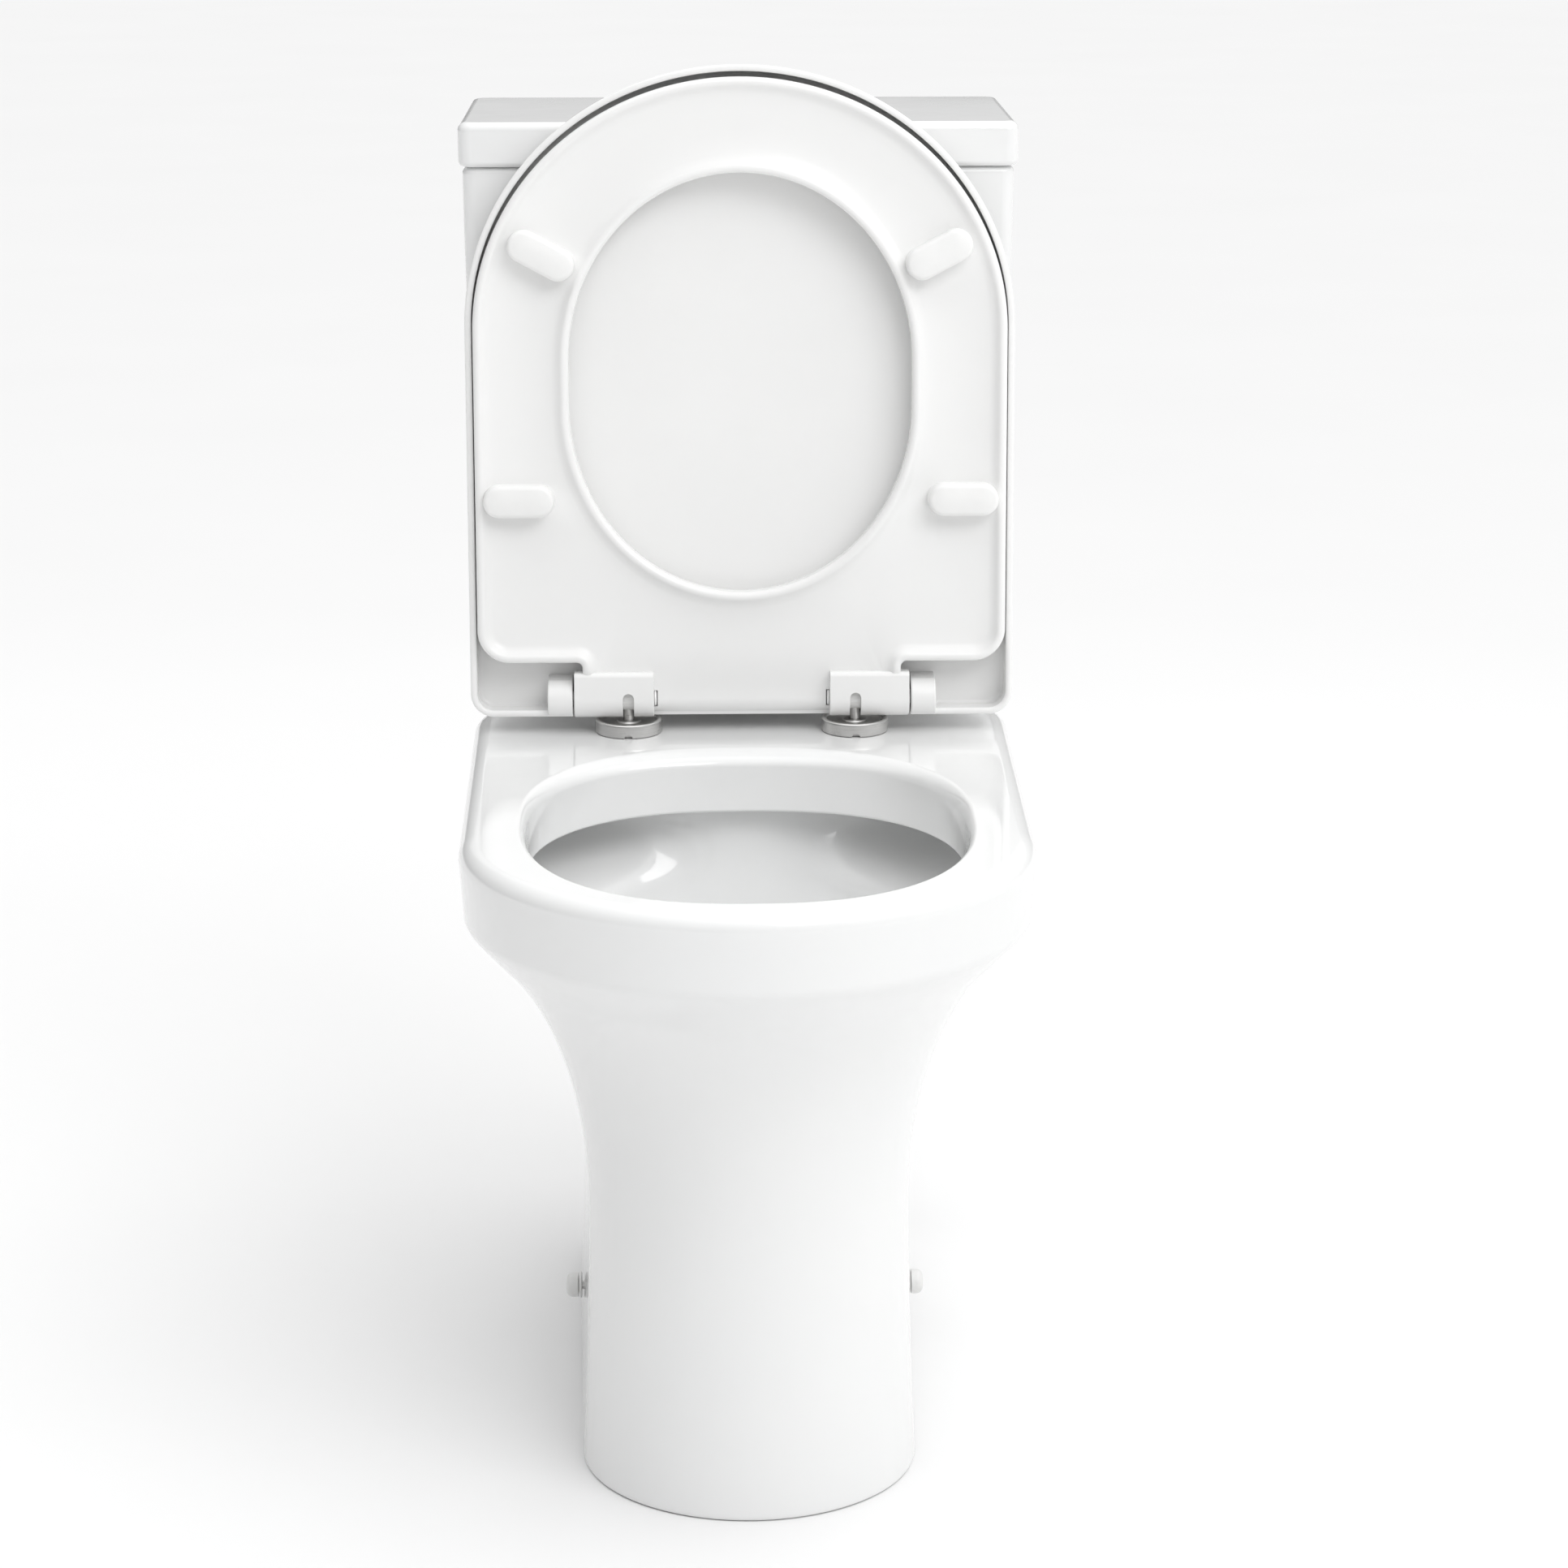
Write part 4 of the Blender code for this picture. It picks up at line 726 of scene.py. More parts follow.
def rounded_box_ring(half, front, back, corner, z, steps=10):
    """A rectangle with rounded corners, mirrored about x = 0."""
    right = arc((half - corner, front + corner), corner, corner, -90, 0, steps)
    right += arc((half - corner, back - corner), corner, corner, 0, 90, steps)
    return mirrored(right, z)


def cistern_ring(z, inset=0.0):
    """The cistern's outline at a height, tapering a little to the bottom."""
    t = (z - CISTERN_BOTTOM) / (CISTERN_TOP - CISTERN_BOTTOM)
    half = CISTERN_BOTTOM_HALF_WIDTH + (CISTERN_TOP_HALF_WIDTH - CISTERN_BOTTOM_HALF_WIDTH) * ease(t)
    front = CISTERN_FRONT_Y + CISTERN_FRONT_TAPER * (1 - ease(t)) + inset
    corner = max(CISTERN_CORNER - inset * 0.4, 0.002)
    return rounded_box_ring(half - inset, front, BACK_Y - inset, corner, z)


def make_cistern(coat):
    """The cistern's open box with its floor holes."""
    round_over = 0.018
    rings = []
    for angle in quarter(12, 0):
        inset = round_over * (1 - sin(angle))
        rings.append(cistern_ring(CISTERN_BOTTOM + round_over * (1 - cos(angle)), inset))
    rings += [cistern_ring(CISTERN_BOTTOM + 0.03 * k) for k in range(1, 12)]
    for angle in quarter(8, 0):
        rings.append(cistern_ring(CISTERN_TOP - TOP_ROUND * (1 - sin(angle)), TOP_ROUND * (1 - cos(angle))))
    cistern = stack("cistern_body", rings)
    fillet = ((0, 0.010), (0.0008, 0.006), (0.003, 0.003), (0.006, 0.0008), (0.010, 0), (0.10, 0), (0.30, 0))
    floor = CISTERN_BOTTOM + CISTERN_FLOOR
    inside = [cistern_ring(floor + rise, CISTERN_WALL + inset) for rise, inset in fillet]
    inside.append([(x, y, CISTERN_TOP + 0.02) for x, y, _ in cistern_ring(CISTERN_TOP, CISTERN_WALL)])
    combine(cistern, stack("cistern_inside", inside))
    holes = [(0, FLUSH_Y, 0.0288), (INLET_X, FLUSH_Y, INLET_RADIUS + 0.0015)]
    holes += [(side * COUPLING_X, FLUSH_Y, 0.0055) for side in (-1, 1)]
    for x, y, radius in holes:
        combine(cistern, turned("floor_hole", [(radius, 0.40), (radius, 0.47)], (x, y, 0), segments=40))
    bake(cistern)
    crisp(cistern, 34)
    return finish(cistern, coat, "base", "china", "cistern")


def cap_ring(z, inset):
    """The cistern lid's outline, drawn in by an inset."""
    corner = max(CISTERN_CORNER - inset * 0.4, 0.002)
    half = CISTERN_LID_HALF_WIDTH - inset
    return rounded_box_ring(half, CISTERN_LID_FRONT_Y + inset, BACK_Y - inset, corner, z)


def make_cistern_lid(coat):
    """The cistern's lid: a softly edged cap with a locating rib underneath and a hole for the button."""
    bottom = CISTERN_LID_TOP - CISTERN_LID_HEIGHT
    edge = 0.006
    foot = 0.004
    rings = [cap_ring(CISTERN_LID_CEILING, 0.0170), cap_ring(RIB_BOTTOM + 0.001, 0.0160)]
    rings += [cap_ring(RIB_BOTTOM, 0.0155), cap_ring(RIB_BOTTOM, 0.0142)]
    rings += [cap_ring(RIB_BOTTOM + 0.001, 0.0136), cap_ring(bottom, 0.0136), cap_ring(bottom, foot)]
    for angle in quarter(8):
        rings.append(cap_ring(bottom + foot * (1 - cos(angle)), foot * (1 - sin(angle))))
    for angle in quarter(10, 0):
        rings.append(cap_ring(CISTERN_LID_TOP - edge + edge * sin(angle), edge * (1 - cos(angle))))
    lid = stack("cistern_cap", rings)
    hole = [(BEZEL_TUBE_RADIUS + 0.001, 0.79), (BEZEL_TUBE_RADIUS + 0.001, 0.86)]
    combine(lid, turned("button_hole", hole, (0, FLUSH_Y, 0)))
    bake(lid)
    crisp(lid, 34)
    return finish(lid, coat, "cistern_cover", "china", "cistern_lid")


def make_button(coat):
    """The flush button's bezel and its two keys, split off centre."""
    top = CISTERN_LID_TOP
    inner = BUTTON_RADIUS + 0.0006
    bezel = [(inner, -0.034), (BEZEL_TUBE_RADIUS, -0.034), (BEZEL_TUBE_RADIUS, GAP), (BEZEL_RADIUS, GAP)]
    bezel += [(BEZEL_RADIUS, 0.0012), (BEZEL_RADIUS - 0.0004, 0.0019), (BEZEL_RADIUS - 0.0014, 0.0026)]
    bezel += [(BEZEL_RADIUS - 0.0034, 0.0033), (inner + 0.0040, 0.0038), (inner + 0.0012, 0.0039)]
    bezel += [(inner + 0.0003, 0.0036), (inner, 0.0030)]
    ring = pipe_ring("flush_bezel", bezel, (0, FLUSH_Y, top), segments=96)
    crisp(ring, 40)
    finish(ring, coat, "cistern_cover", "chrome", "button_bezel")
    keys = {"full": (-1, -0.008), "half": (1, 0.011)}
    for name, (side, rod_x) in keys.items():
        bound = BUTTON_SPLIT + side * GAP
        disc = [(BUTTON_RADIUS, 0.8285), (BUTTON_RADIUS, 0.8346), (BUTTON_RADIUS - 0.0002, 0.8352)]
        disc += [(BUTTON_RADIUS - 0.0008, 0.8357), (BUTTON_RADIUS - 0.0020, 0.8358)]
        disc += [(0.008, 0.8353), (0.001, 0.8351)]
        key = turned(name + "_key", disc, (0, FLUSH_Y, 0), segments=96)
        low = (bound, 0.0, 0.7) if side < 0 else (-0.05, 0.0, 0.7)
        high = (0.05, 0.5, 0.9) if side < 0 else (bound, 0.5, 0.9)
        combine(key, box("cut", low, high))
        rod = [(0.0028, 0.6985), (0.0028, 0.8300)]
        combine(key, turned("rod", rod, (rod_x, FLUSH_Y, 0), segments=24), "UNION")
        bake(key)
        crisp(key, 30)
        finish(key, coat, name + "_button", "chrome", name + "_flush_button")


# ---------------------------------------------------------------- hinges


def make_disc(side, suffix, coat):
    """The hinge's round foot: a turned steel disc with a raised rim and a small release notch in front."""
    x = side * HINGE_X
    inner = POST_RADIUS + 0.0004
    outer = DISC_RADIUS
    high = DISC_HEIGHT
    rim = [(inner, 0.0), (outer - 0.0006, 0.0), (outer, 0.0006), (outer, high - 0.0016)]
    rim += [(outer - 0.0003, high - 0.0007), (outer - 0.0010, high - 0.0001), (outer - 0.0018, high)]
    rim += [(outer - 0.0028, high - 0.0001), (outer - 0.0033, high - 0.0006), (outer - 0.0036, high - 0.0015)]
    rim += [(0.0085, high - 0.0020), (0.0078, high - 0.0012), (0.0070, high - 0.0010), (inner, high - 0.0010)]
    disc = pipe_ring("hinge_foot_" + suffix, rim, (x, HINGE_Y, RIM_TOP + GAP), segments=128)
    notch = turned("notch", [(0.0028, -0.004), (0.0028, 0.004)], (x, HINGE_Y - outer, RIM_TOP + GAP), "Y", 32)
    combine(disc, notch)
    bake(disc)
    crisp(disc, 30)
    finish(disc, coat, "base", "steel", "hinge_disc_" + suffix)


def make_post(side, suffix, coat):
    """The hinge's steel post with a chamfered head and a threaded tail under the deck."""
    x = side * HINGE_X
    tail = 0.372
    under = RIM_TOP - DECK_THICKNESS
    profile = [(POST_RADIUS - 0.0007, tail), (POST_RADIUS - 0.0003, tail + 0.0006)]
    pitch = 0.0010
    z = tail + pitch
    while z < under:
        profile += [(POST_RADIUS, z), (POST_RADIUS - 0.0004, z + pitch / 2)]
        z += pitch
    profile += [(POST_RADIUS, under + 0.001), (POST_RADIUS, HINGE_AXIS_Z + 0.0015)]
    profile += [(POST_RADIUS - 0.0005, HINGE_AXIS_Z + 0.0025)]
    post = turned("hinge_pin_" + suffix, profile, (x, HINGE_Y, 0), segments=48)
    crisp(post, 40)
    finish(post, coat, "base", "steel", "hinge_post_" + suffix)


# ---------------------------------------------------------------- seat and lid


def place_on_hinge(made):
    """Moves a piece drawn closed about the hinge axis into the raised rest pose."""
    raise_up = Matrix.Rotation(-OPEN_ANGLE, 4, "X")
    made.data.transform(Matrix.Translation((0, HINGE_Y, HINGE_AXIS_Z)) @ raise_up)
    return made


def seat_outline():
    """Right half of the seat's outer outline, with the hinge tongue, and the lip's strength at each point."""
    half = SEAT_HALF_WIDTH
    bend = -SEAT_TIP + SEAT_FRONT_DEPTH
    corner = SEAT_CORNER
    rear = -SEAT_REAR
    fillet = TONGUE_FILLET
    right = arc((0, bend), half, SEAT_FRONT_DEPTH, -90, 0, 60)
    right += [(half, bend + (rear - corner - bend) * k / 24) for k in range(1, 24)]
    right += arc((half - corner, rear - corner), corner, corner, 0, 90, 16)
    stop = TONGUE_HALF_WIDTH + fillet
    right += [(half - corner + (stop - half + corner) * k / 10, rear) for k in range(1, 10)]
    right += arc((stop, rear + fillet), fillet, fillet, -90, -180, 8)
    turn = (TONGUE_HALF_WIDTH - TONGUE_CORNER, -TONGUE_REAR - TONGUE_CORNER)
    right += [(TONGUE_HALF_WIDTH, rear + fillet + (turn[1] - rear - fillet) * k / 4) for k in range(1, 4)]
    right += arc(turn, TONGUE_CORNER, TONGUE_CORNER, 0, 90, 8)
    lips = [1.0 - 0.4 * ease((y + 0.021) / 0.006) for _, y in right]
    right += [(turn[0] * (1 - k / 22), -TONGUE_REAR) for k in range(1, 23)]
    lips += [0.0] * 22
    return right, lips


def inside_opening(x, y):
    """Whether a point lies in the seat's opening."""
    front_bend = -SEAT_OPENING_FRONT + SEAT_OPENING_FRONT_DEPTH
    rear_bend = -SEAT_OPENING_REAR - SEAT_OPENING_REAR_DEPTH
    over = y - min(max(y, front_bend), rear_bend)
    depth = SEAT_OPENING_FRONT_DEPTH if y < front_bend else SEAT_OPENING_REAR_DEPTH
    return (x / SEAT_OPENING_HALF_WIDTH) ** 2 + (over / depth) ** 2 < 1


def opening_point(x, y):
    """Where the line from the opening's middle to a point crosses the opening's edge."""
    middle = -(SEAT_OPENING_FRONT + SEAT_OPENING_REAR) / 2
    near, far = 0.0, 1.0
    for _ in range(34):
        t = (near + far) / 2
        if inside_opening(x * t, middle + (y - middle) * t):
            near = t
        else:
            far = t
    return (x * near, middle + (y - middle) * near)


def inward(points):
    """Unit normals to a closed loop of points, pointing to its left."""
    found = []
    count = len(points)
    for i in range(count):
        before, after = points[i - 1], points[(i + 1) % count]
        along = Vector((after[0] - before[0], after[1] - before[1])).normalized()
        found.append((-along.y, along.x))
    return found


OUTER_EDGE = [
    (0.0030, 0.0086), (0.0014, 0.0066), (0.0004, 0.0044), (0.0, 0.0020), (0.0, -0.0040), (0.0, -0.0100),
    (0.0004, -0.0118), (0.0013, -0.0132), (0.0026, -0.0139), (0.0040, -0.0140), (0.0052, -0.0135),
    (0.0062, -0.0124), (0.0074, -0.0108), (0.0092, -0.0094), (0.0120, -0.0084),
]
UNDER_MIDDLE = [(0.12, -0.0076), (0.3, -0.0067), (0.5, -0.0063), (0.7, -0.0065), (0.88, -0.0074)]
INNER_EDGE = [
    (0.0120, -0.0083), (0.0092, -0.0094), (0.0074, -0.0108), (0.0060, -0.0124), (0.0050, -0.0133),
    (0.0038, -0.0136), (0.0024, -0.0135), (0.0011, -0.0127), (0.0003, -0.0114), (0.0, -0.0096),
    (0.0, -0.0040), (0.0, 0.0008), (0.0006, 0.0032), (0.0020, 0.0056), (0.0042, 0.0076), (0.0080, 0.0094),
]
OVER_MIDDLE = [(0.95, 0.0103), (0.8, 0.0116), (0.6, 0.0126), (0.4, 0.0129), (0.2, 0.0124), (0.06, 0.0109)]
LIP_ROOT = -0.0063


def hollowed(x, y, z):
    """A point under the seat, drawn up where the tongue thins toward the hinge axis."""
    limit = LIP_ROOT + TONGUE_THINNING * ease((y + 0.030) / 0.030)
    share = ease((TONGUE_HALF_WIDTH - 0.012 - abs(x)) / 0.012) * ease((y + 0.040) / 0.012)
    return (x, y, z + (max(z, limit) - z) * share)


def moved(point, normal, distance):
    """An (x, y) point moved along a normal."""
    return (point[0] + normal[0] * distance, point[1] + normal[1] * distance)


def seat_loops():
    """The seat ring's cross-sections: lips follow both edges, and the middle runs straight between them."""
    right, right_lips = seat_outline()
    outer = right + [(-x, y) for x, y in reversed(right[1:-1])]
    lips = right_lips + list(reversed(right_lips[1:-1]))
    inner = [opening_point(x, y) for x, y in outer]
    loops = []
    for edge, edge_in, hole, hole_in, lip in zip(outer, inward(outer), inner, inward(inner), lips):
        start = Vector(moved(edge, edge_in, 0.012))
        end = Vector(moved(hole, hole_in, -0.012))
        loop = []
        for d, z in OUTER_EDGE:
            root = max(z, LIP_ROOT)
            loop.append((*moved(edge, edge_in, d), root + (z - root) * lip))
        loop += [(*start.lerp(end, t), z) for t, z in UNDER_MIDDLE]
        loop += [(*moved(hole, hole_in, -d), z) for d, z in INNER_EDGE]
        loop += [(*start.lerp(end, t), z) for t, z in OVER_MIDDLE]
        loops.append([hollowed(*point) for point in loop])
    return loops


def barrel_profile():
    """A hinge barrel's (radius, x) profile, its end edges softened."""
    edge = 0.0009
    soft = BARREL_RADIUS - edge * 0.3
    return [
        (BARREL_RADIUS - edge, BARREL_INNER_X), (soft, BARREL_INNER_X + edge * 0.3),
        (BARREL_RADIUS, BARREL_INNER_X + edge), (BARREL_RADIUS, BARREL_OUTER_X - edge),
        (soft, BARREL_OUTER_X - edge * 0.3), (BARREL_RADIUS - edge, BARREL_OUTER_X),
    ]


def bore_profile():
    """The (radius, x) profile cut from a barrel: the plug's recess and hole, then the core's bore."""
    recess = PLUG_RADIUS + 0.0005
    bore = CORE_RADIUS + GAP
    bore_start = BARREL_INNER_X + 0.0015
    return [
        (recess, BARREL_INNER_X - 0.0024), (recess, BARREL_INNER_X), (SEAT_PLUG_HOLE, BARREL_INNER_X),
        (SEAT_PLUG_HOLE, bore_start), (bore, bore_start), (bore, BARREL_OUTER_X + 0.0055),
    ]


def barrel_block():
    """The square shoulder, in (y, z), by which a hinge barrel grows out of the seat."""
    low = -BARREL_RADIUS + 0.00005
    shoulder = arc((-BLOCK_REACH + BLOCK_ROUND, low + BLOCK_ROUND), BLOCK_ROUND, BLOCK_ROUND, 270, 180, 12)
    return [(0.0, 0.0), (0.0, low)] + shoulder + [(-BLOCK_REACH, 0.0)]


def slot_cutter(side):
    """A slot with a round end, cut into a barrel from its front and underside."""
    x = side * HINGE_X
    reach = SLOT_HALF_WIDTH
    outline = [(-reach, 0.02), (reach, 0.02)] + arc((0, -0.0008), reach, reach, 0, -180, 12)
    return stack("slot", [[(x + px, py, z) for px, py in outline] for z in (-0.02, SLOT_TOP)])


def make_seat(coat):
    """The seat ring with its rear tongue and two slotted hinge barrels."""
    seat = hoop("seat_ring", seat_loops())
    tongue = [(-0.010, -0.0016), (-0.010, 0.0112), (-0.008, 0.0124)]
    tongue += arc((0, 0), BARREL_RADIUS, BARREL_RADIUS, 96, 18, 18)
    tongue += arc((0.0003, 0.0092), 0.0112, 0.0114, -30, -90, 12)
    reach = TONGUE_HALF_WIDTH - 0.002
    combine(seat, extruded("tongue", tongue, -reach, reach), "UNION")
    for side in (-1, 1):
        combine(seat, turned("barrel", beside(side, barrel_profile()), (0, 0, 0), "X", 72), "UNION")
        ends = sorted((side * (BARREL_INNER_X + GAP), side * (BARREL_OUTER_X - GAP)))
        combine(seat, extruded("barrel_block", barrel_block(), *ends), "UNION")
    for side in (-1, 1):
        combine(seat, turned("bore", beside(side, bore_profile()), (0, 0, 0), "X", 48))
        combine(seat, slot_cutter(side))
    bake(seat)
    crisp(seat, 30)
    place_on_hinge(seat)
    return finish(seat, coat, "seat_ring", "seat_plastic", "seat")


def capsule(name, side, place, sections):
    """A capsule-shaped block under the seat through (height, inset) sections."""
    x, y, turn = place
    radius = BUFFER_WIDTH / 2
    reach = BUFFER_LENGTH / 2 - radius
    rings = []
    for z, inset in sections:
        ring = arc((reach, 0), radius - inset, radius - inset, -90, 90, 32)
        ring += arc((-reach, 0), radius - inset, radius - inset, 90, 270, 32)
        rings.append([(px, py, z) for px, py in ring])
    block = stack(name, rings)
    spin = Matrix.Rotation(side * turn, 4, "Z")
    block.data.transform(Matrix.Translation((side * x, y, 0)) @ spin)
    return block


def make_buffers(coat):
    """Four soft buffers with a slim foot, straight sides and a gently crowned face."""
    low = BUFFER_BOTTOM
    sections = [(BUFFER_BED, 0.0), (low + 0.0060, 0.0001)]
    for angle in quarter(8):
        sections.append((low + 0.0008 + 0.0036 * (1 - sin(angle)), 0.0001 + 0.0036 * (1 - cos(angle))))
    sections += [(low + 0.0004, 0.0060), (low + 0.0001, 0.0085), (low, 0.0105)]
    for part, place in (("rear", BUFFER_REAR), ("front", BUFFER_FRONT)):
        for side, suffix in SIDES:
            buffer = capsule(f"buffer_{part}_{suffix}", side, place, sections)
            crisp(buffer, 50)
            place_on_hinge(buffer)
            finish(buffer, coat, "seat_ring", "buffer_rubber", f"seat_buffer_{part}_{suffix}")


def make_seat_plugs(coat):
    """The small plugs with a dimple that close the barrels' inner ends."""
    for side, suffix in SIDES:
        plug = [(0.0012, -0.0008), (0.0016, -0.0016), (0.0040, -0.0018), (PLUG_RADIUS - 0.0004, -0.0015)]
        plug += [(PLUG_RADIUS, -0.0009), (PLUG_RADIUS, -GAP), (0.0039, -GAP + 0.00001), (0.0039, 0.0014)]
        made = turned("barrel_plug_" + suffix, beside(side, plug), (side * BARREL_INNER_X, 0, 0), "X", 40)
        crisp(made, 35)
        place_on_hinge(made)
        finish(made, coat, "seat_ring", "seat_plastic", "hinge_plug_" + suffix)


def lid_ring(inset, z):
    """The toilet lid's outline at a height, drawn in by an inset."""
    half = LID_HALF_WIDTH - inset
    bend = -LID_TIP + LID_FRONT_DEPTH
    corner = max(LID_CORNER - inset, 0.004)
    rear = LID_REAR - inset
    right = arc((0, bend), half, LID_FRONT_DEPTH - inset, -90, 0, 72)
    right += [(half, bend + (rear - corner - bend) * k / 28) for k in range(1, 28)]
    right += arc((half - corner, rear - corner), corner, corner, 0, 90, 14)
    return mirrored(right, z)


def lid_sections():
    """(inset, height) pairs from the inner panel over the lip to the crowned outside."""
    sections = [(0.060, LID_INNER + 0.0006), (0.020, LID_INNER + 0.0002)]
    fillet = 0.0028
    for angle in quarter(6, 0):
        sections.append((LID_WALL + fillet * (1 - sin(angle)), LID_INNER - fillet * (1 - cos(angle))))
    lip = LID_WALL / 2
    for k in range(13):
        angle = pi * k / 12
        sections.append((lip + lip * cos(angle), LID_LIP + lip * 0.8 - lip * 0.8 * sin(angle)))
    sections.append((0.0, 0.0100))
    edge_in, edge_up = 0.0100, LID_TOP - 0.0100
    for angle in quarter(12):
        sections.append((edge_in * (1 - cos(angle)) ** 1.15, 0.0100 + edge_up * sin(angle)))
    return sections


def make_toilet_lid(coat):
    """The lid: a shallow tray that wraps the seat, with a knuckle at each hinge."""
    lid = stack("lid_shell", [lid_ring(inset, z) for inset, z in lid_sections()])
    middle = KNUCKLE_INNER_X
    combine(lid, box("rear_gap", (-middle, -0.020, -0.02), (middle, 0.03, LID_INNER)))
    for side in (-1, 1):
        ends = sorted((side * KNUCKLE_INNER_X, side * KNUCKLE_OUTER_X))
        outline = [(0.0105, LID_INNER + 0.002), (-BARREL_RADIUS - 0.002, LID_INNER + 0.002)]
        outline += [(-BARREL_RADIUS - 0.0012, LID_INNER - 0.004), (-BARREL_RADIUS - 0.0003, 0.004)]
        outline += arc((0, 0), BARREL_RADIUS, BARREL_RADIUS, 180, 325, 40)
        knuckle = extruded("knuckle", outline, *ends)
        step = knuckle.modifiers.new("edge", "BEVEL")
        step.width = 0.0012
        step.segments = 3
        step.limit_method = "ANGLE"
        step.angle_limit = radians(50)
        combine(lid, bake(knuckle), "UNION")
    for side in (-1, 1):
        bore = [(PIVOT_RADIUS, KNUCKLE_INNER_X - 0.003), (PIVOT_RADIUS, KNUCKLE_OUTER_X - 0.002)]
        combine(lid, turned("pivot_bore", beside(side, bore), (0, 0, 0), "X", 32))
    bake(lid)
    crisp(lid, 32)
    place_on_hinge(lid)
    return finish(lid, coat, "lid", "seat_plastic", "toilet_lid")


# ---------------------------------------------------------------- floor fixings


def foot_half_width():
    """Half width of the foot at the floor fixings, on the +X side."""
    points = [(px, py) for px, py, _ in pan_outline(FIXING_Z, 0.0, 3) if px > 0.01]
    for (x0, y0), (x1, y1) in zip(points, points[1:]):
        if y0 <= FIXING_Y <= y1:
            return x0 + (x1 - x0) * (FIXING_Y - y0) / (y1 - y0)
    return max(px for px, _ in points)


def make_caps(coat):
    """On each side of the foot: a flat collar and a domed cap over the screw head."""
    face = foot_half_width() + 0.0012
    centre = (0, FIXING_Y, FIXING_Z)
    for side, suffix in SIDES:
        hole, wide = BOLT_RADIUS + 0.0004, CAP_RADIUS + 0.0006
        collar = [(hole, face), (CAP_RADIUS + 0.0002, face), (wide, face + 0.0004)]
        collar += [(wide, face + 0.0013), (CAP_RADIUS + 0.0001, face + 0.0018), (hole, face + 0.0018)]
        ring = pipe_ring("screw_collar_" + suffix, beside(side, collar), centre, "X", 64)
        crisp(ring, 40)
        finish(ring, coat, "base", "white_plastic", "cap_collar_" + suffix)
        cap = [(0.0066, face + 0.0075), (0.0066, face + 0.0025), (CAP_RADIUS - 0.0003, face + 0.0025)]
        cap += [(CAP_RADIUS, face + 0.0028), (CAP_RADIUS, face + 0.0062)]
        for angle in quarter(10):
            cap.append((CAP_RADIUS - 0.0045 * (1 - cos(angle)), face + 0.0062 + 0.0046 * sin(angle)))
        cap.append((0.0004, face + 0.0108))
        made = turned("screw_dome_" + suffix, beside(side, cap), centre, "X", 64)
        crisp(made, 40)
        finish(made, coat, "base", "white_plastic", "screw_cap_" + suffix)


# ---------------------------------------------------------------- studio


def put(made, place, turn):
    """Stands a new object in the scene."""
    made.location = place
    made.rotation_euler = turn
    bpy.context.scene.collection.objects.link(made)
    return made


def make_camera():
    """A camera in front of the toilet, a little left of centre and looking slightly down."""
    data = bpy.data.cameras.new("camera")
    data.lens = CAMERA_LENS
    data.sensor_width = SENSOR
    data.clip_end = 100.0
    bpy.context.scene.camera = put(bpy.data.objects.new("camera", data), CAMERA_PLACE, CAMERA_TURN)


def make_light(name, place, target, width, height, power):
    """A soft rectangular light that faces a target."""
    data = bpy.data.lights.new(name, "AREA")
    data.shape = "RECTANGLE"
    data.size = width
    data.size_y = height
    data.energy = power
    turn = (Vector(target) - Vector(place)).to_track_quat("-Z", "Y").to_euler()
    put(bpy.data.objects.new(name, data), place, turn)


def math_node(nodes, links, operation, *inputs):
    """A math node whose inputs are sockets or plain numbers."""
    made = nodes.new("ShaderNodeMath")
    made.operation = operation
    for socket, value in zip(made.inputs, inputs):
        if isinstance(value, float):
            socket.default_value = value
        else:
            links.new(value, socket)
    return made.outputs["Value"]


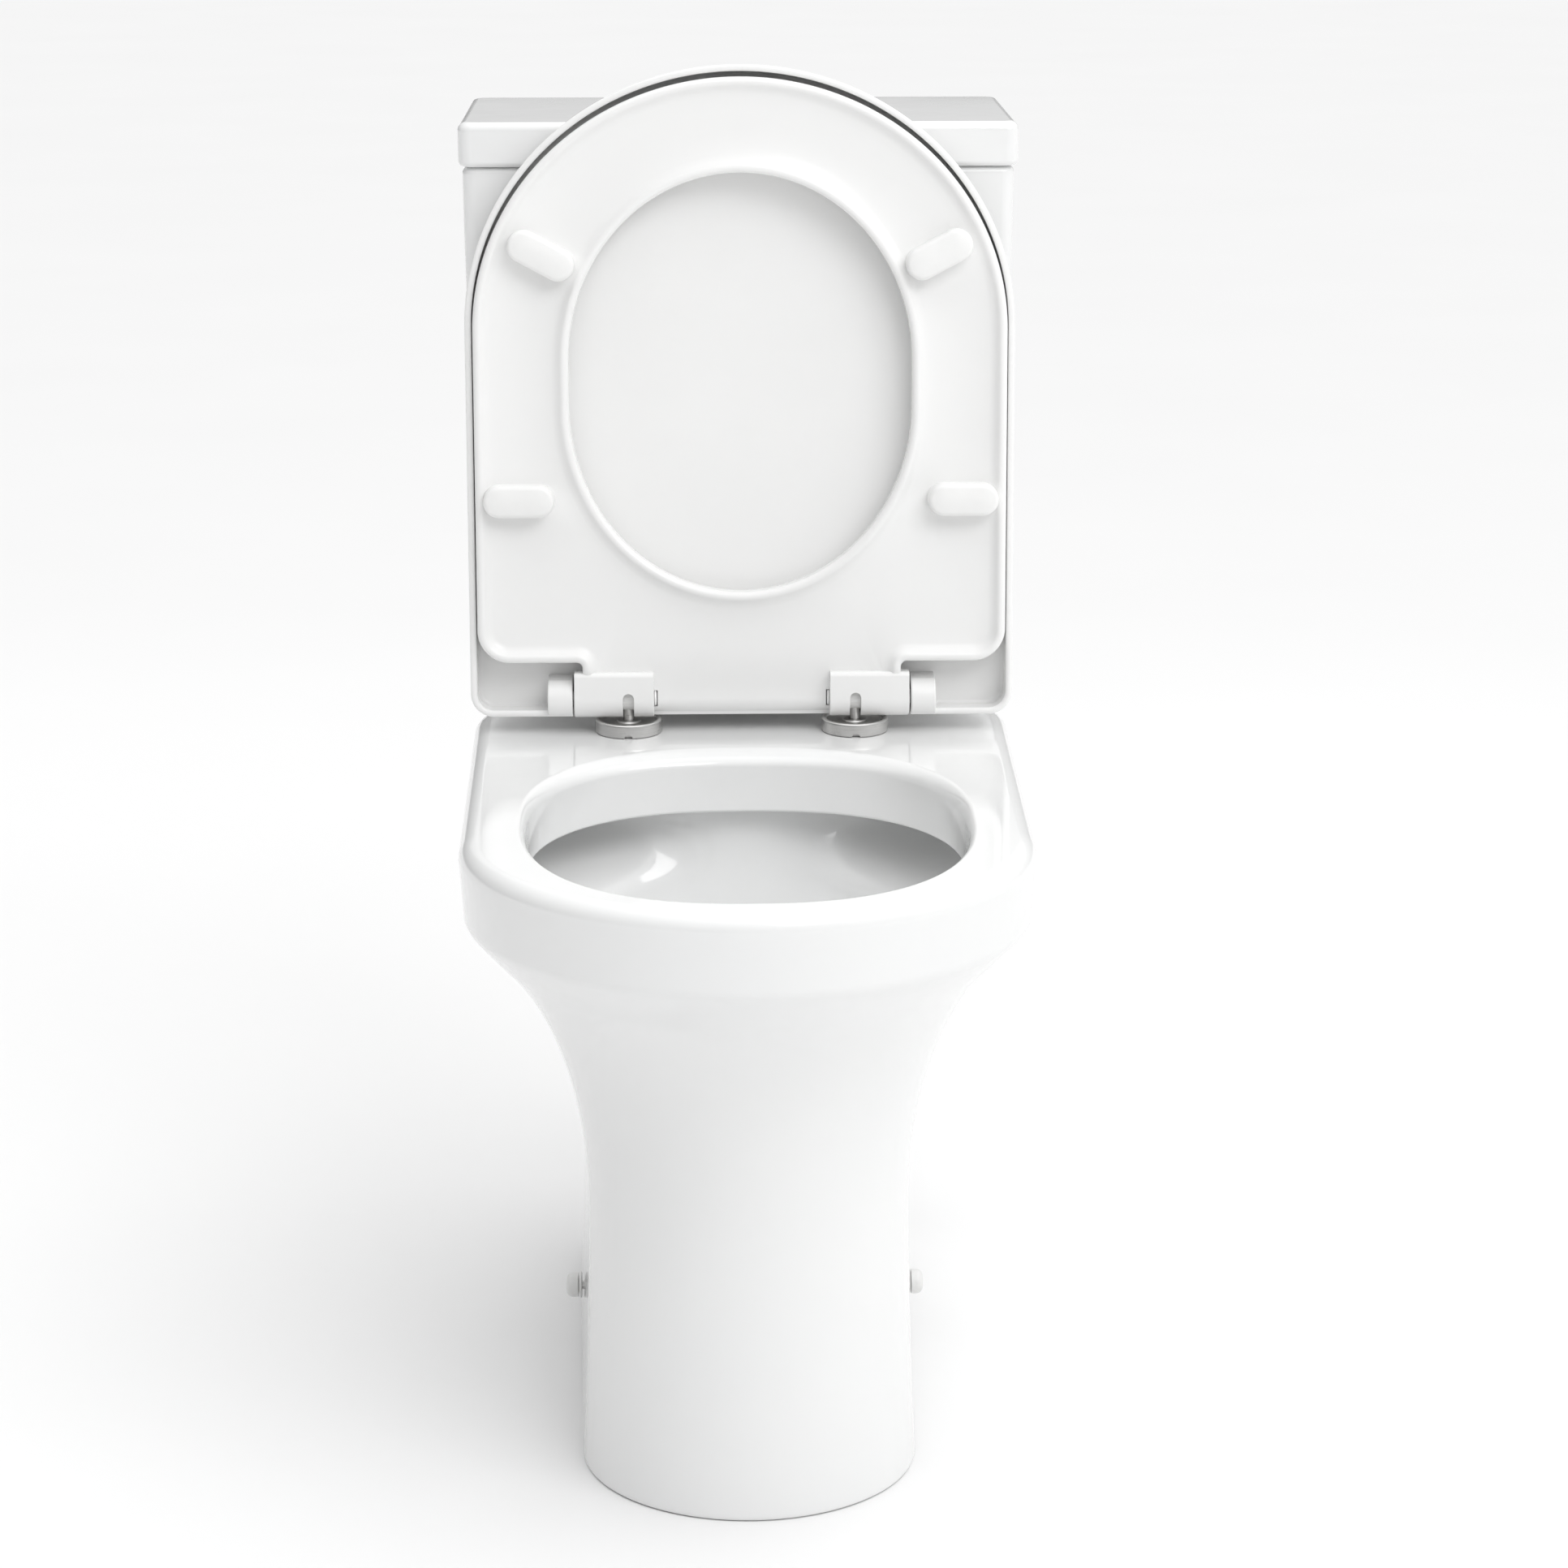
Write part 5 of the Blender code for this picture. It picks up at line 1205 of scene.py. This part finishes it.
def make_tent():
    """A world like a white tent: its glow grows toward the top and the right."""
    world = bpy.data.worlds.new("studio_tent")
    world.use_nodes = True
    nodes, links = world.node_tree.nodes, world.node_tree.links
    place = nodes.new("ShaderNodeTexCoord")
    split = nodes.new("ShaderNodeSeparateXYZ")
    links.new(place.outputs["Generated"], split.inputs["Vector"])
    rise = math_node(nodes, links, "MULTIPLY", split.outputs["Z"], split.outputs["Z"])
    right = math_node(nodes, links, "MULTIPLY_ADD", split.outputs["X"], TENT_RIGHT, TENT_BASE)
    total = math_node(nodes, links, "MULTIPLY_ADD", rise, TENT_TOP, right)
    nodes["Background"].inputs["Color"].default_value = (1.0, 1.0, 1.0, 1.0)
    links.new(total, nodes["Background"].inputs["Strength"])
    return world


def make_studio():
    """Pale floor and a white tent, with a soft key light in front and a weak light behind."""
    reach = FLOOR_REACH
    work = bmesh.new()
    corners = [(-reach, -reach), (reach, -reach), (reach, reach), (-reach, reach)]
    work.faces.new([work.verts.new((x, y, FLOOR_Z)) for x, y in corners])
    floor = as_object("studio_floor", work)
    floor.data.materials.append(studio_floor())
    make_light("key", *KEY_LIGHT)
    make_light("back", *BACK_LIGHT)
    bpy.context.scene.world = make_tent()
    bpy.context.scene.view_settings.view_transform = "Standard"


def dress_kept_nodes(frame, coats):
    """Every CAD node that still shows takes its slot's material."""
    for entry in frame["record"]["subparts"]:
        node = frame["nodes"][entry["node"]]
        node.data.materials.clear()
        node.data.materials.append(coats[entry["material_slot"]])


def main():
    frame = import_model()
    coats = {
        "china": glaze(),
        "seat_plastic": seat_plastic(),
        "buffer_rubber": buffer_rubber(),
        "steel": satin_steel(),
        "chrome": chrome_plate(),
        "white_plastic": moulded("white_moulding", (0.80, 0.80, 0.79), (0.84, 0.84, 0.83), 0.36),
        "grey_plastic": moulded("grey_moulding", (0.42, 0.44, 0.47), (0.47, 0.49, 0.52), 0.42),
        "black_rubber": black_rubber(),
        "brass": plain_brass(),
    }
    dress_kept_nodes(frame, coats)
    make_pan(coats["china"])
    make_cistern(coats["china"])
    make_cistern_lid(coats["china"])
    make_button(coats["chrome"])
    for side, suffix in SIDES:
        make_disc(side, suffix, coats["steel"])
        make_post(side, suffix, coats["steel"])
    make_seat(coats["seat_plastic"])
    make_buffers(coats["buffer_rubber"])
    make_seat_plugs(coats["seat_plastic"])
    make_toilet_lid(coats["seat_plastic"])
    make_caps(coats["white_plastic"])
    make_studio()
    make_camera()


main()
